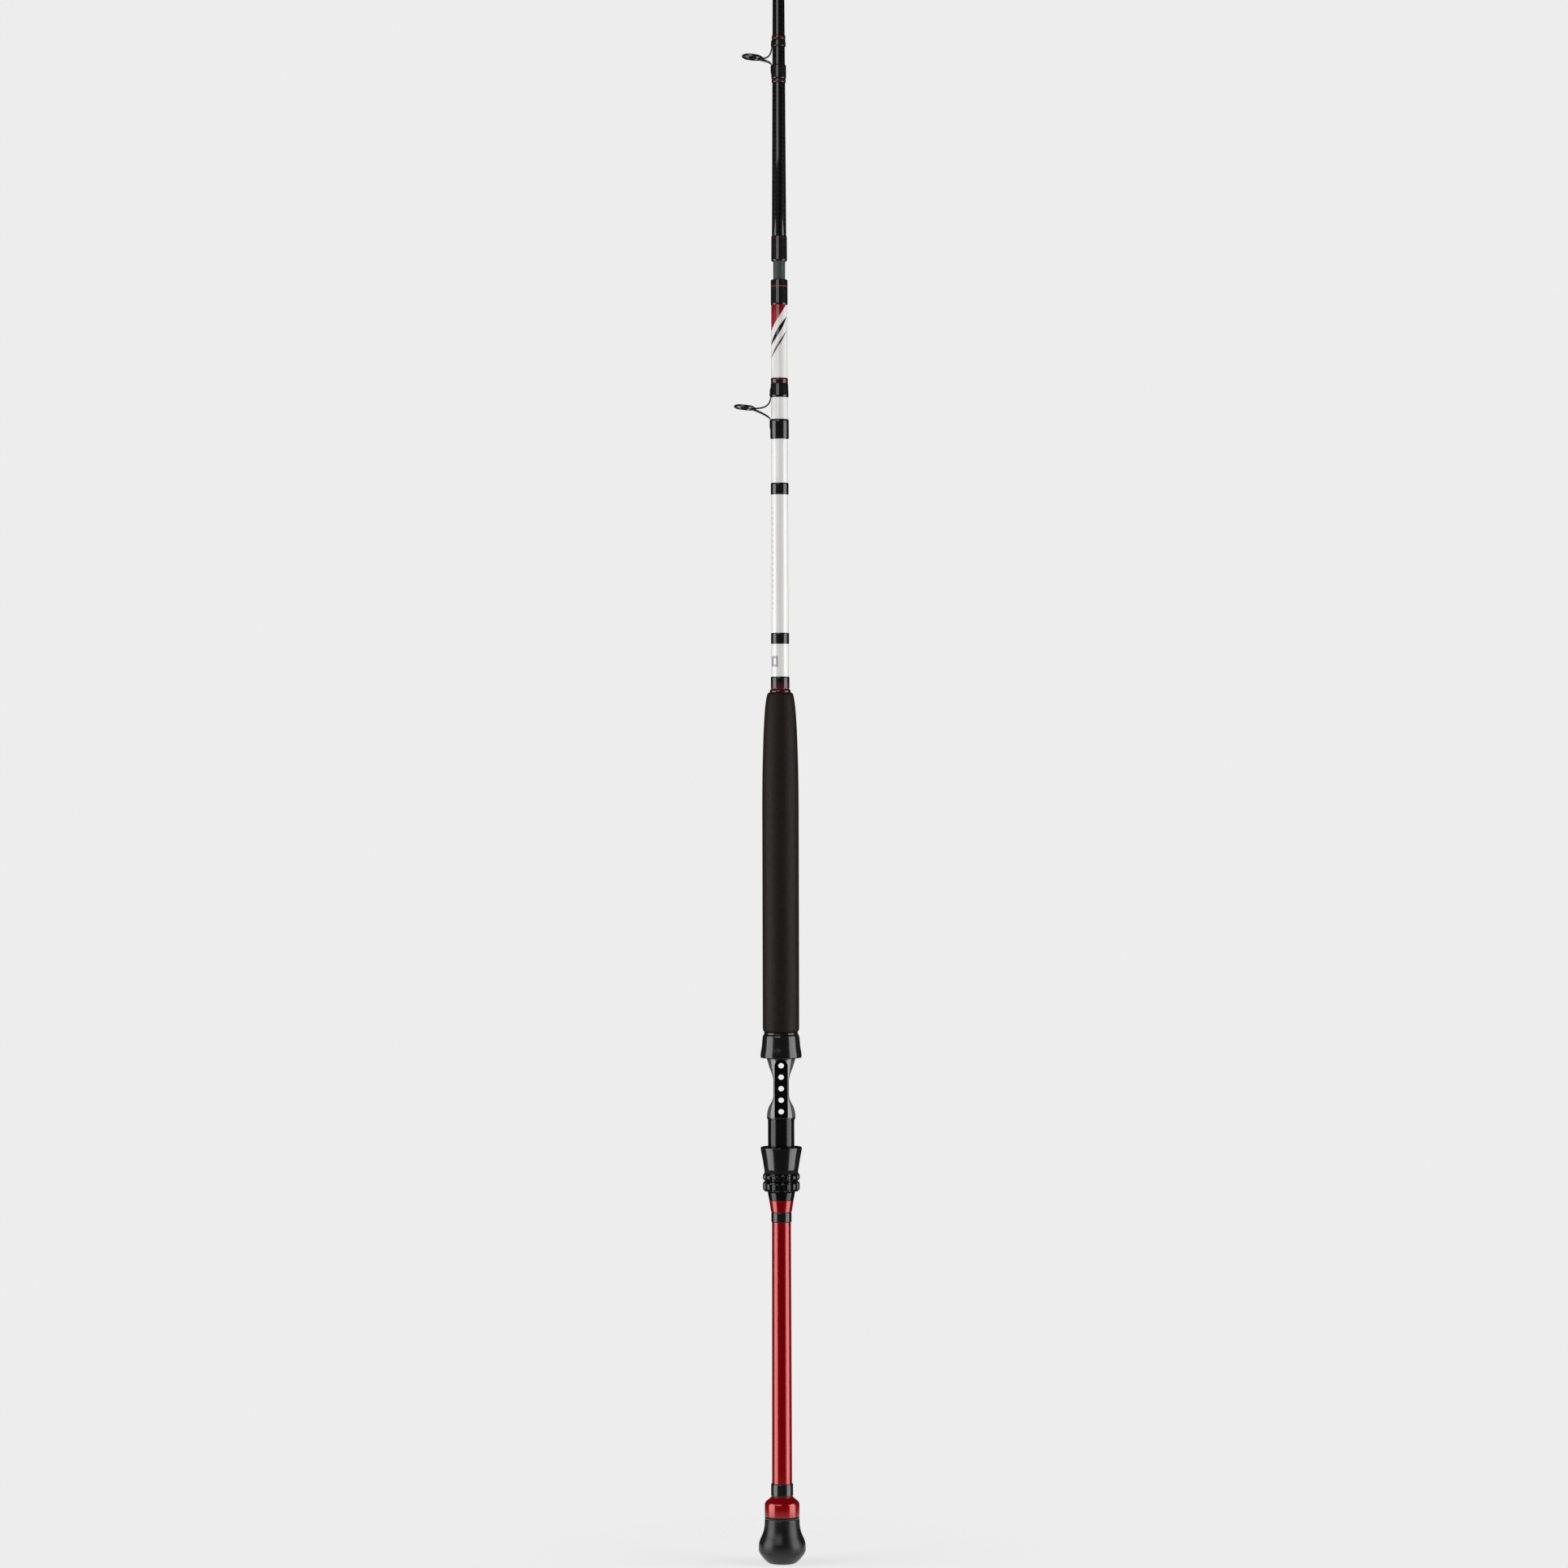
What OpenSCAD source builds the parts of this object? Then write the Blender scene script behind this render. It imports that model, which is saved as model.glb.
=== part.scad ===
// Two-piece boat fishing rod without its reel, standing on its butt along +Z.
// The rod axis is the Z axis. The line guides and the reel foot are on the -X side.

/* [Rod] */
// Height of the top of the butt section, where the ferrule gap starts
butt_section_top = 1138; // [1110:1:1160]
// Gap between the two sections when the ferrule is seated
ferrule_gap = 16.5; // [10:0.5:22]
// Height of the top end of the tip blank
tip_blank_top = 2122; // [2110:1:2140]

/* [Blank] */
// Outer radius of the butt section's blank at its lower end
blank_r_low = 8.2; // [8:0.02:8.4]
// Outer radius of the butt section's blank at its upper end
blank_r_high = 7.08; // [7:0.02:7.3]
// Radius of the ferrule spigot
spigot_r = 5.3; // [5:0.05:5.5]
// Length of the spigot inside the tip section
spigot_reach = 76; // [60:1:80]

/* [Butt] */
// Largest radius of the rubber butt cap
cap_r = 20.9; // [19:0.1:22]
// Height of the rubber butt cap
cap_h = 41; // [39:0.5:43]
// Radius of the gimbal's visible collar
gimbal_r = 15.4; // [15:0.1:16]
// Width of the gimbal's crossed slots
slot_w = 6.5; // [6:0.1:7]

/* [Reel seat] */
// Radius over the barrel's thread
barrel_r = 11.8; // [11.6:0.05:12]
// Half width of the seat's waist
waist_r = 6.9; // [6.5:0.1:8]
// Radius of the seat's shoulders at both ends of the waist
shoulder_r = 12.7; // [12.4:0.1:13]
// Largest radius of both hoods
hood_r = 18.2; // [18:0.1:18.6]
// Diameter of the lightening holes through the waist
light_hole_d = 5; // [4:0.1:5.4]

/* [Grip] */
// Largest radius of the foam foregrip
grip_r = 16.2; // [15.5:0.1:17]
// Height where the foregrip ends
grip_top = 772; // [760:1:780]

/* [Hidden] */
$fn = 96;
eps = 0.01;
glue = 0.05;      // gap left by a glue line between two pieces of one body
slip = 0.09;      // radial clearance of the pieces that run on the barrel
through = 40;     // length of a bar that cuts right through the rod

// Butt
cap_floor = 5;
gimbal_bottom = 6;
gimbal_inner_r = 13.5;
slot_depth = 10;
collar_top = 58.5;
tube_r_low = 9;
tube_r_high = 8.4;
tube_wall = 1.4;
tube_bottom = 20;
tube_straight = 300;

// Reel seat
tail_z = 311.3;
tail_mid = 321.5;
barrel_bottom = 329.4;
lock_nut_z = 329.7;
hood_nut_z = 338.9;
nut_neck_z = 345.6;
nut_neck_top = 348.4;
nut_neck_r = 13.6;
groove_z = 347;
groove_r = 12.9;
ring_gap = 3;
skirt_r_in = 13.9;
skirt_r_out = 15;
hood_z = 348.9;
liner_top = 356.4;
hood_wall = 1.1;
core_t = 0.6;
// Hood outlines: distance from the closed end, then outer radius
MOVING_HOOD = [[0, 15.1], [2, 15.5], [9, 16.6], [14, 17.5], [17.5, hood_r], [19.6, hood_r]];
FIXED_HOOD = [[0, 15.1], [1.5, 16.1], [5, 16.6], [11, 17.1], [15.5, 17.9], [18, hood_r],
    [20.5, hood_r]];
fixed_hood_len = 21;
fixed_floor_depth = 9;
barrel_top = 393.3;
shoulder_z = 397;
waist_mid_z = 420.5;
waist_depth_r = 9.8;
// How the waist flares into either shoulder: how much narrower, at what share of the way there
LOW_FLARE = [0.6, 0.68];
HIGH_FLARE = [1.8, 0.78];
fixed_mouth = 448;
grip_bottom = 470.5;
stem_top = 500;
stem_r = 10.2;
socket_floor = 452;
tube_top = 385;
nut_r = 16.6;
nut_hollows = 12;
hollow_r = 3.1;
hollow_depth = 1;
key_w = 3;
key_depth = 1.2;
light_holes = 5;
light_hole_step = 10.2;
recess_half = 5.9;
recess_bottom = 395.2;
recess_top = 447;
web_half = 2.2;
inlay_t = 0.8;

// Tip section
tip_z = butt_section_top + ferrule_gap;
tip_r_low = 6.5;
tip_bend_z = 1386;
tip_bend_r = 5.65;
tip_r_high = 1.5;
spigot_bottom = 1062;
bore_slip = 0.06;

// Line guides: height of the ring, ring diameter, distance of the ring's centre from the axis,
// then where the lower wrap starts and ends and where the upper wrap starts and ends.
GUIDES = [
    [1025, 18.6, 31.0, -28.5, -10.5, 8.5, 21.5],
    [1335.6, 18.6, 23.3, -19.6, -6.6, 9, 16],
    [1570, 15.4, 18, -17.5, -6, 8, 16],
    [1755, 13.2, 14.4, -15.5, -5.5, 7, 14.8],
    [1905, 11.6, 11.8, -14.5, -5, 6.5, 13.5],
    [2027, 10.6, 10, -13.5, -4.5, 6, 12.6]
];
trim_h = 2.8;
trim_t = 0.35;
wrap_t = 0.95;
ring_tilt = 6;
foot_w = 2.4;
foot_t = 0.9;
foot_out = 1.6;
top_ring_d = 10.6;
top_ring_x = 6.6;
top_ring_z = 2127;
top_ring_tilt = 22;
sleeve_z = 2098;
sleeve_r = 2.5;

// Outer radius of the blank of either section at height z
function blank_r(z) =
    z <= butt_section_top
        ? lerp(z, socket_floor, butt_section_top, blank_r_low, blank_r_high)
        : z <= tip_bend_z
            ? lerp(z, tip_z, tip_bend_z, tip_r_low, tip_bend_r)
            : lerp(z, tip_bend_z, tip_blank_top, tip_bend_r, tip_r_high);
function lerp(z, z0, z1, a, b) = a + (b - a) * (z - z0) / (z1 - z0);
// Outer radius of the butt tube at height z
function tube_r(z) =
    z < tube_straight ? lerp(z, tube_bottom, tube_straight, tube_r_low, tube_r_high) : tube_r_high;

// A ring from z0 to z1 on a cone, whose coat swells from its two ends to thickness t
function coat_points(z0, z1, r0, r1, t, steps = 10) = concat(
    [[r0, z0]],
    [for (i = [0:steps])
        let (u = -1 + 2 * i / steps, s = pow(1 - pow(abs(u) * 0.96, 6), 0.5))
            [lerp(u, -1, 1, r0, r1) + t * s, lerp(u, -1, 1, z0, z1)]],
    [[r1, z1]]);

module coat(z0, z1, r0, r1, t)
    rotate_extrude() polygon(coat_points(z0, z1, r0, r1, t));

module blank_coat(z0, z1, t) coat(z0, z1, blank_r(z0), blank_r(z1), t);

module ring(z0, z1, r_in, r_out)
    translate([0, 0, z0]) difference() {
        cylinder(h = z1 - z0, r = r_out);
        translate([0, 0, -1]) cylinder(h = z1 - z0 + 2, r = r_in);
    }

// Points on a cubic curve from a to d, steered by b and c
function curve(a, b, c, d, n) = [for (i = [0:n]) let (t = i / n)
    pow(1 - t, 3) * a + 3 * pow(1 - t, 2) * t * b + 3 * (1 - t) * t * t * c + pow(t, 3) * d];
function unit(v) = v / norm(v);

// A round wire of radius r along points, none of whose stretches runs along Y
module wire(points, r, sides = 8) {
    last = len(points) - 1;
    rings = [for (i = [0:last])
        let (t = unit(points[min(i + 1, last)] - points[max(i - 1, 0)]),
             u = unit(cross([0, 1, 0], t)), v = cross(t, u))
            for (k = [0:sides - 1]) let (a = 360 * k / sides)
                points[i] + r * (cos(a) * u + sin(a) * v)];
    walls = [for (i = [0:last - 1]) for (k = [0:sides - 1])
        let (a = i * sides + k, b = i * sides + (k + 1) % sides)
            [a, a + sides, b + sides, b]];
    polyhedron(rings, concat(walls,
        [[for (k = [0:sides - 1]) k]],
        [[for (k = [sides - 1:-1:0]) last * sides + k]]));
}

// ---- Butt ----

module butt_cap() color([0.06, 0.06, 0.06])
    rotate_extrude() polygon([
        [0, 0], [11, 0], [13.6, 1.1], [15.9, 3.4], [18.3, 6.3], [20.1, 9],
        [cap_r, 11.5], [cap_r, 14.5], [20.5, 18], [19.3, 21.5], [17.7, 25], [16.5, 28.6],
        [15.8, 32.5], [15.5, 37], [gimbal_r, cap_h],
        [gimbal_inner_r + 0.3, cap_h], [gimbal_inner_r + 0.3, cap_floor], [0, cap_floor]]);

module gimbal() color([0.45, 0.01, 0.02]) difference() {
    rotate_extrude() polygon([
        [0, gimbal_bottom], [gimbal_inner_r - 1, gimbal_bottom],
        [gimbal_inner_r, gimbal_bottom + 1], [gimbal_inner_r, cap_h + 0.4],
        [gimbal_r, cap_h + 0.4], [gimbal_r, 52.5], [14.6, 54.2], [10.6, 57.6], [9.8, collar_top],
        [tube_r(collar_top) + glue, collar_top], [tube_r_low + glue, tube_bottom - glue],
        [0, tube_bottom - glue]]);
    for (a = [0, 90]) rotate(a)
        translate([-through / 2, -slot_w / 2, gimbal_bottom - 1])
            cube([through, slot_w, slot_depth + 1]);
}

module butt_tube() color([0.45, 0.0, 0.01])
    rotate_extrude() polygon([
        [tube_r(tube_bottom), tube_bottom], [tube_r(tube_straight), tube_straight],
        [tube_r_high, tube_top], [tube_r_high - tube_wall, tube_top],
        [tube_r_high - tube_wall, tube_straight], [tube_r_low - tube_wall, tube_bottom]]);

module butt_lower_wrap() color([0.03, 0.03, 0.03])
    coat(collar_top + 0.5, 70.5, tube_r(collar_top + 0.5), tube_r(70.5), 0.9);

module butt_top_wrap() color([0.03, 0.03, 0.03])
    coat(302, tail_z - 0.3, tube_r_high, tube_r_high, 0.6);

// ---- Reel seat ----

module seat_tail_trim() color([0.45, 0.0, 0.01])
    rotate_extrude() polygon([[tube_r_high + glue, tail_z], [9.2, tail_z], [10.8, tail_mid],
        [tube_r_high + glue, tail_mid]]);

module seat_tail_cone() color([0.05, 0.05, 0.05])
    rotate_extrude() polygon([[tube_r_high + glue, tail_mid + eps], [10.8, tail_mid + eps],
        [12.1, barrel_bottom - 1], [11.6, barrel_bottom - eps],
        [tube_r_high + glue, barrel_bottom - eps]]);

// Outline of the waist from its lower to its upper shoulder, narrowed to r_mid in the middle
function waist_end(r_mid, z_end, flare) =
    let (way = z_end - waist_mid_z)
        curve([r_mid, waist_mid_z + way * 0.22], [r_mid, waist_mid_z + way * 0.57],
            [shoulder_r - flare[0], waist_mid_z + way * flare[1]], [shoulder_r, z_end], 8);
function waist_points(r_mid) =
    let (low = waist_end(r_mid, shoulder_z, LOW_FLARE),
        high = waist_end(r_mid, fixed_mouth - 1, HIGH_FLARE))
        concat([for (i = [8:-1:0]) low[i]], high);

module waist() intersection() {
    rotate([90, 0, 0]) linear_extrude(height = 30, center = true)
        polygon(concat(waist_points(waist_r),
            [for (i = [17:-1:0]) let (p = waist_points(waist_r)[i]) [-p[0], p[1]]]));
    rotate_extrude() polygon(concat([[0, shoulder_z]], waist_points(waist_depth_r),
        [[0, fixed_mouth - 1]]));
}

module light_hole_row() for (i = [0:light_holes - 1])
    translate([0, 0, waist_mid_z + (i - (light_holes - 1) / 2) * light_hole_step])
        rotate([90, 0, 0]) cylinder(h = through, d = light_hole_d, center = true);

// A slot along the waist with a rounded upper end, between two distances from the middle plane,
// on both faces
module slot(half, z0, z1, y0, y1) for (s = [0, 1]) mirror([0, s, 0]) {
    translate([-half, y0, z0]) cube([2 * half, y1 - y0, z1 - half - z0]);
    translate([0, y0, z1 - half]) rotate([-90, 0, 0]) cylinder(h = y1 - y0, r = half);
}

module reel_seat_body() color([0.07, 0.07, 0.07]) difference() {
    union() {
        // Barrel and lower shoulder
        rotate_extrude() polygon([[0, barrel_bottom], [barrel_r - 0.5, barrel_bottom],
            [barrel_r, barrel_bottom + 0.5], [barrel_r, barrel_top], [12.5, barrel_top + 0.8],
            [shoulder_r, barrel_top + 2.4], [shoulder_r, shoulder_z], [0, shoulder_z]]);
        waist();
        // Stem that carries the fixed hood and takes the blank
        rotate_extrude() polygon([[0, fixed_mouth - 1], [shoulder_r, fixed_mouth - 1],
            [shoulder_r - 0.5, fixed_mouth + 1], [stem_r, fixed_mouth + 4],
            [stem_r, stem_top - 1], [stem_r - 1, stem_top], [0, stem_top]]);
    }
    translate([0, 0, barrel_bottom - 1])
        cylinder(h = tube_top - barrel_bottom + 1.5, r = tube_r_high + glue);
    translate([0, 0, socket_floor]) cylinder(h = 60, r = blank_r_low + glue);
    slot(recess_half, recess_bottom, recess_top, web_half, 14);
    light_hole_row();
    translate([barrel_r - key_depth, -key_w / 2, barrel_bottom - 1])
        cube([5, key_w, barrel_top - barrel_bottom - 1]);
}

module seat_inlays() color([0.02, 0.02, 0.02]) difference() {
    slot(recess_half - glue, recess_bottom + glue, recess_top - glue, web_half, web_half + inlay_t);
    light_hole_row();
}

// Shell of a hood whose closed end is at the origin and whose mouth opens upwards
module hood_shell(profile) {
    last = len(profile) - 1;
    rotate_extrude() polygon(concat(
        [for (p = profile) [p[1], p[0]]],
        [[profile[last][1] - 0.5, profile[last][0] + 0.5],
         [profile[last][1] - hood_wall + 0.2, profile[last][0] + 0.5]],
        [for (i = [last:-1:0]) [profile[i][1] - hood_wall, profile[i][0]]]));
}

// Plastic core inside a hood's shell, with the pocket for the reel foot above floor_z
module hood_core(profile, floor_z, r_in) {
    last = len(profile) - 1;
    outer_gap = hood_wall + glue;
    pocket_gap = hood_wall + core_t;
    rotate_extrude() polygon(concat(
        [[r_in, 0.1]],
        [for (p = profile) [p[1] - outer_gap, max(p[0], 0.1)]],
        [for (i = [last:-1:0]) if (profile[i][0] > floor_z + 1)
            [profile[i][1] - pocket_gap, profile[i][0]]],
        [[lookup(floor_z + 1, profile) - pocket_gap, floor_z + 1],
         [lookup(floor_z, profile) - pocket_gap - 0.8, floor_z], [r_in, floor_z]]));
}

// Turns a hood over so that it opens downwards at the mouth
module turned(mouth_z) translate([0, 0, mouth_z]) mirror([0, 0, 1])
    translate([0, 0, -fixed_hood_len]) children();

module fixed_hood() color([0.1, 0.1, 0.1]) {
    turned(fixed_mouth) hood_shell(FIXED_HOOD);
    ring(fixed_mouth + fixed_hood_len - eps, grip_bottom - 0.1, stem_r + glue, FIXED_HOOD[0][1]);
}

module fixed_hood_liner() color([0.04, 0.04, 0.04])
    turned(fixed_mouth) hood_core(FIXED_HOOD, fixed_floor_depth, stem_r + glue);

module moving_hood() color([0.1, 0.1, 0.1]) translate([0, 0, hood_z]) hood_shell(MOVING_HOOD);

module moving_hood_liner() color([0.04, 0.04, 0.04]) {
    bore = barrel_r + slip;
    core_r = MOVING_HOOD[0][1] - hood_wall - glue;
    translate([0, 0, hood_z]) hood_core(MOVING_HOOD, liner_top - hood_z, bore);
    // Skirt that hangs over the nut's neck, with the groove of the retaining ring
    rotate_extrude() polygon([
        [skirt_r_in, nut_neck_z + 0.3], [skirt_r_out, nut_neck_z + 0.3],
        [skirt_r_out, hood_z - eps], [core_r, hood_z - eps], [core_r, hood_z + 0.3],
        [bore, hood_z + 0.3], [bore, nut_neck_top + 0.3], [skirt_r_in, nut_neck_top + 0.3],
        [skirt_r_in, groove_z + 0.45], [skirt_r_in + 0.6, groove_z + 0.45],
        [skirt_r_in + 0.6, groove_z - 0.45], [skirt_r_in, groove_z - 0.45]]);
    // Key that runs in the barrel's keyway
    translate([barrel_r - key_depth + 0.3, -key_w / 2 + 0.1, hood_z + 0.5])
        cube([key_depth + 0.6, key_w - 0.2, liner_top - hood_z - 1.5]);
}

module nut_retaining_ring() color([0.7, 0.7, 0.7]) difference() {
    ring(groove_z - 0.4, groove_z + 0.4, groove_r + 0.3, skirt_r_in + 0.55);
    // Gap that lets the ring spring open
    translate([-through / 2, -ring_gap / 2, groove_z - 2]) cube([through / 2, ring_gap, 4]);
}

// A nut from z0 to z1 with rounded rims and a ring of shallow finger hollows
module nut(z0, z1) difference() {
    rotate_extrude() polygon([
        [barrel_r + slip, z0], [14.6, z0], [nut_r - 0.7, z0 + 1], [nut_r, z0 + 2.4],
        [nut_r, z1 - 2], [nut_r - 0.6, z1 - 0.9], [15.3, z1], [barrel_r + slip, z1]]);
    for (i = [0:nut_hollows - 1]) rotate(360 * i / nut_hollows)
        translate([nut_r + hollow_r - hollow_depth, 0, z0 - 1])
            cylinder(h = z1 - z0 + 2, r = hollow_r);
}

module hood_nut() color([0.05, 0.05, 0.05]) {
    nut(hood_nut_z, nut_neck_z);
    // Neck that turns inside the hood's skirt, with the other half of the ring's groove
    rotate_extrude() polygon([
        [barrel_r + slip, nut_neck_z], [nut_neck_r, nut_neck_z],
        [nut_neck_r, groove_z - 0.7], [groove_r, groove_z - 0.7],
        [groove_r, groove_z + 0.7], [nut_neck_r, groove_z + 0.7],
        [nut_neck_r, nut_neck_top], [barrel_r + slip, nut_neck_top]]);
}

module lock_nut() color([0.05, 0.05, 0.05]) nut(lock_nut_z, hood_nut_z - 0.5);

// ---- Grip and lower blank ----

module foregrip() color([0.12, 0.12, 0.11])
    rotate_extrude() polygon([
        [stem_r + glue, grip_bottom], [14.2, grip_bottom], [15.4, grip_bottom + 0.8],
        [grip_r, grip_bottom + 3], [grip_r, 686], [15.9, 702], [15.5, 717], [15.1, 731],
        [14.5, 743.5], [14, 752], [13.3, 760], [12.3, 767], [11.5, 770.4], [10.6, 771.6],
        [9.8, grip_top], [blank_r(grip_top) + glue, grip_top],
        [blank_r(stem_top) + glue, stem_top + 0.3], [stem_r + glue, stem_top + 0.3]]);

module foregrip_check() color([0.35, 0.01, 0.03])
    rotate_extrude() polygon([
        [blank_r(grip_top) + glue, grip_top + eps], [9.4, grip_top + eps], [9.3, grip_top + 1.4],
        [8.6, grip_top + 3], [blank_r(grip_top) + glue, grip_top + 3]]);

module lower_blank() color([0.93, 0.93, 0.92])
    rotate_extrude() polygon([
        [blank_r(socket_floor), socket_floor], [blank_r(butt_section_top), butt_section_top],
        [spigot_r + glue, butt_section_top], [spigot_r + glue, spigot_bottom - 5],
        [6, spigot_bottom - 12], [6.4, socket_floor]]);

module ferrule_spigot() color([0.2, 0.2, 0.19]) translate([0, 0, spigot_bottom])
    cylinder(h = butt_section_top + ferrule_gap + spigot_reach - spigot_bottom, r = spigot_r);

module foregrip_wrap() color([0.03, 0.03, 0.03]) blank_coat(grip_top + 3.1, 786, 0.65);
module decor_wrap_lower() color([0.03, 0.03, 0.03]) blank_coat(815, 824.8, 0.45);
module decor_wrap_upper() color([0.03, 0.03, 0.03]) blank_coat(947.4, 957.8, 0.55);
module ferrule_wrap() color([0.03, 0.03, 0.03])
    blank_coat(1115.6, butt_section_top, 0.4);

// A band of trim thread between two heights, at the outer end of a guide's wrap
module trim(z0, z1) blank_coat(z0, z1, trim_t);

module guide_1_trim() color([0.4, 0.02, 0.03])
    trim(GUIDES[0][0] + GUIDES[0][6] + glue, GUIDES[0][0] + GUIDES[0][6] + 3.8);

// ---- Tip section ----

module tip_blank() color([0.04, 0.04, 0.04])
    rotate_extrude() polygon([
        [tip_r_low, tip_z], [tip_bend_r, tip_bend_z], [tip_r_high, tip_blank_top],
        [0, tip_blank_top], [0, 1880], [1.3, 1860],
        [4.2, tip_z + spigot_reach + 14], [spigot_r + bore_slip, tip_z + spigot_reach + 2],
        [spigot_r + bore_slip, tip_z]]);

module tip_base_wrap() color([0.03, 0.03, 0.03]) blank_coat(tip_z, 1177, 0.55);

module tip_guide_trims() color([0.4, 0.02, 0.03]) for (i = [1:5]) {
    below = GUIDES[i][0] + GUIDES[i][3] - glue;
    above = GUIDES[i][0] + GUIDES[i][6] + glue;
    trim(below - trim_h, below);
    trim(above, above + trim_h);
}

// ---- Line guides ----

function band_t(d) = 0.06 * d + 0.45;
function insert_t(d) = 0.07 * d + 0.3;

// Moves its children to a ring's place, tilted with the outer edge up
module at_ring(x, z, tilt) translate([-x, 0, z]) rotate([0, tilt, 0]) children();

module ring_insert(d) {
    r_out = d / 2 - band_t(d);
    r_in = r_out - insert_t(d);
    h = 0.06 * d + 0.8;
    rotate_extrude() polygon([
        [r_in, -h * 0.35], [r_in + 0.35, -h], [r_out - 0.15, -h], [r_out - 0.02, -h * 0.7],
        [r_out - 0.02, h * 0.7], [r_out - 0.15, h], [r_in + 0.35, h], [r_in, h * 0.35]]);
}

module ring_band(d) {
    r_out = d / 2;
    h = 0.045 * d + 0.35;
    rotate_extrude() polygon([
        [r_out - band_t(d), -h], [r_out - 0.3, -h], [r_out, -h * 0.5], [r_out, h * 0.5],
        [r_out - 0.3, h], [r_out - band_t(d), h]]);
}

// A foot from z0 to z1, flat on the blank's -X side
module foot(z0, z1, grow = 0)
    translate([-blank_r((z0 + z1) / 2) - foot_t - grow, -foot_w / 2 - grow, z0 - grow])
        cube([foot_t + 1.2 + grow, foot_w + 2 * grow, z1 - z0 + 2 * grow]);

module guide_frame(g) color([0.3, 0.3, 0.31]) {
    z = g[0];
    d = g[1];
    x = g[2];
    wire_r = 0.025 * d + 0.25;
    low = z + g[4];
    high = z + g[5];
    foot_low = blank_r(low) + foot_t / 2 + 0.1;
    foot_high = blank_r(high) + foot_t / 2 + 0.1;
    side = 50;
    mid_r = d / 2 - band_t(d) / 2;
    inner = [-x + mid_r * cos(ring_tilt), 0, z - mid_r * sin(ring_tilt)];
    at_ring(x, z, ring_tilt) ring_band(d);
    difference() {
        union() {
            foot(low - foot_in(g), low + foot_out);
            foot(high - foot_out, high + foot_in(g));
            wire(curve(inner, inner + [(x - foot_high - mid_r) * 0.75, 0, -0.6],
                [-foot_high - 0.2, 0, high - 5.5], [-foot_high, 0, high + 1], 12), wire_r);
            for (s = [-1, 1]) {
                from = [-x + mid_r * cos(side), s * mid_r * sin(side),
                    z - mid_r * cos(side) * sin(ring_tilt) - 0.4];
                wire(curve(from, from + [(x - foot_low) * 0.3, -s * mid_r * 0.2, -2.2],
                    [-foot_low - 1.2, s * 0.9, low + 3.2], [-foot_low, s * 0.3, low - 0.6], 12),
                    wire_r);
            }
        }
        blank_core(z + g[3] - 8, z + g[6] + 8);
    }
}

// The blank's own space between two heights
module blank_core(z0, z1)
    translate([0, 0, z0]) cylinder(h = z1 - z0, r1 = blank_r(z0), r2 = blank_r(z1));

module guide_ring(g) color([0.08, 0.08, 0.09]) at_ring(g[2], g[0], ring_tilt) ring_insert(g[1]);

// How far a guide's feet reach under its wraps
function foot_in(g) = min(7, g[6] - g[5] - 1);

// Thread wraps over both feet of a guide, each with a ridge where the foot lies. The upper wrap
// thins out towards its end.
module guide_wraps(g) color([0.03, 0.03, 0.03]) {
    low = g[0] + g[4];
    high = g[0] + g[5];
    guide_wrap(g[0] + g[3], low, wrap_t) foot(low - foot_in(g), low + foot_out, eps);
    guide_wrap(high, g[0] + g[6], wrap_t / 2) foot(high - foot_out, high + foot_in(g), eps);
}

module guide_wrap(z0, z1, t_end) difference() {
    union() {
        coat(z0, z1, blank_r(z0) - 1, blank_r(z1) - 1 + t_end - wrap_t, wrap_t + 1);
        translate([-blank_r((z0 + z1) / 2) + 0.3, 0, 0]) ridge(z0 + 0.3, z1 - 0.3, wrap_t + 0.9);
    }
    blank_core(z0 - 1, z1 + 1);
    children();
}

// A rounded bar of radius r between two heights
module ridge(z0, z1, r)
    rotate_extrude() polygon(concat([[0, z0]], coat_points(z0, z1, 0, 0, r), [[0, z1]]));

// ---- Tip-top ----

module tip_top_sleeve() color([0.3, 0.3, 0.31]) difference() {
    translate([0, 0, sleeve_z]) cylinder(h = tip_blank_top + 2 - sleeve_z, r = sleeve_r);
    translate([0, 0, sleeve_z - 1])
        cylinder(h = tip_blank_top - sleeve_z + 1.2, r = blank_r(sleeve_z) + glue);
}

module tip_top_frame() color([0.3, 0.3, 0.31]) {
    mid_r = top_ring_d / 2 - band_t(top_ring_d) / 2;
    at_ring(top_ring_x, top_ring_z, top_ring_tilt) ring_band(top_ring_d);
    difference() {
        for (s = [-1, 1]) {
            from = [-top_ring_x, s * mid_r, top_ring_z - 0.3];
            wire(curve(from, from + [0.3, 0, -5], [-3.4, s * 2.2, sleeve_z + 15],
                [-2.9, s * 0.8, sleeve_z + 8], 10), 0.5);
        }
        translate([0, 0, sleeve_z - 1]) cylinder(h = through, r = sleeve_r + eps);
    }
}

module tip_top_ring() color([0.08, 0.08, 0.09])
    at_ring(top_ring_x, top_ring_z, top_ring_tilt) ring_insert(top_ring_d);

module tip_top_wrap() color([0.03, 0.03, 0.03]) blank_coat(sleeve_z - 8, sleeve_z - eps, 0.5);

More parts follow.
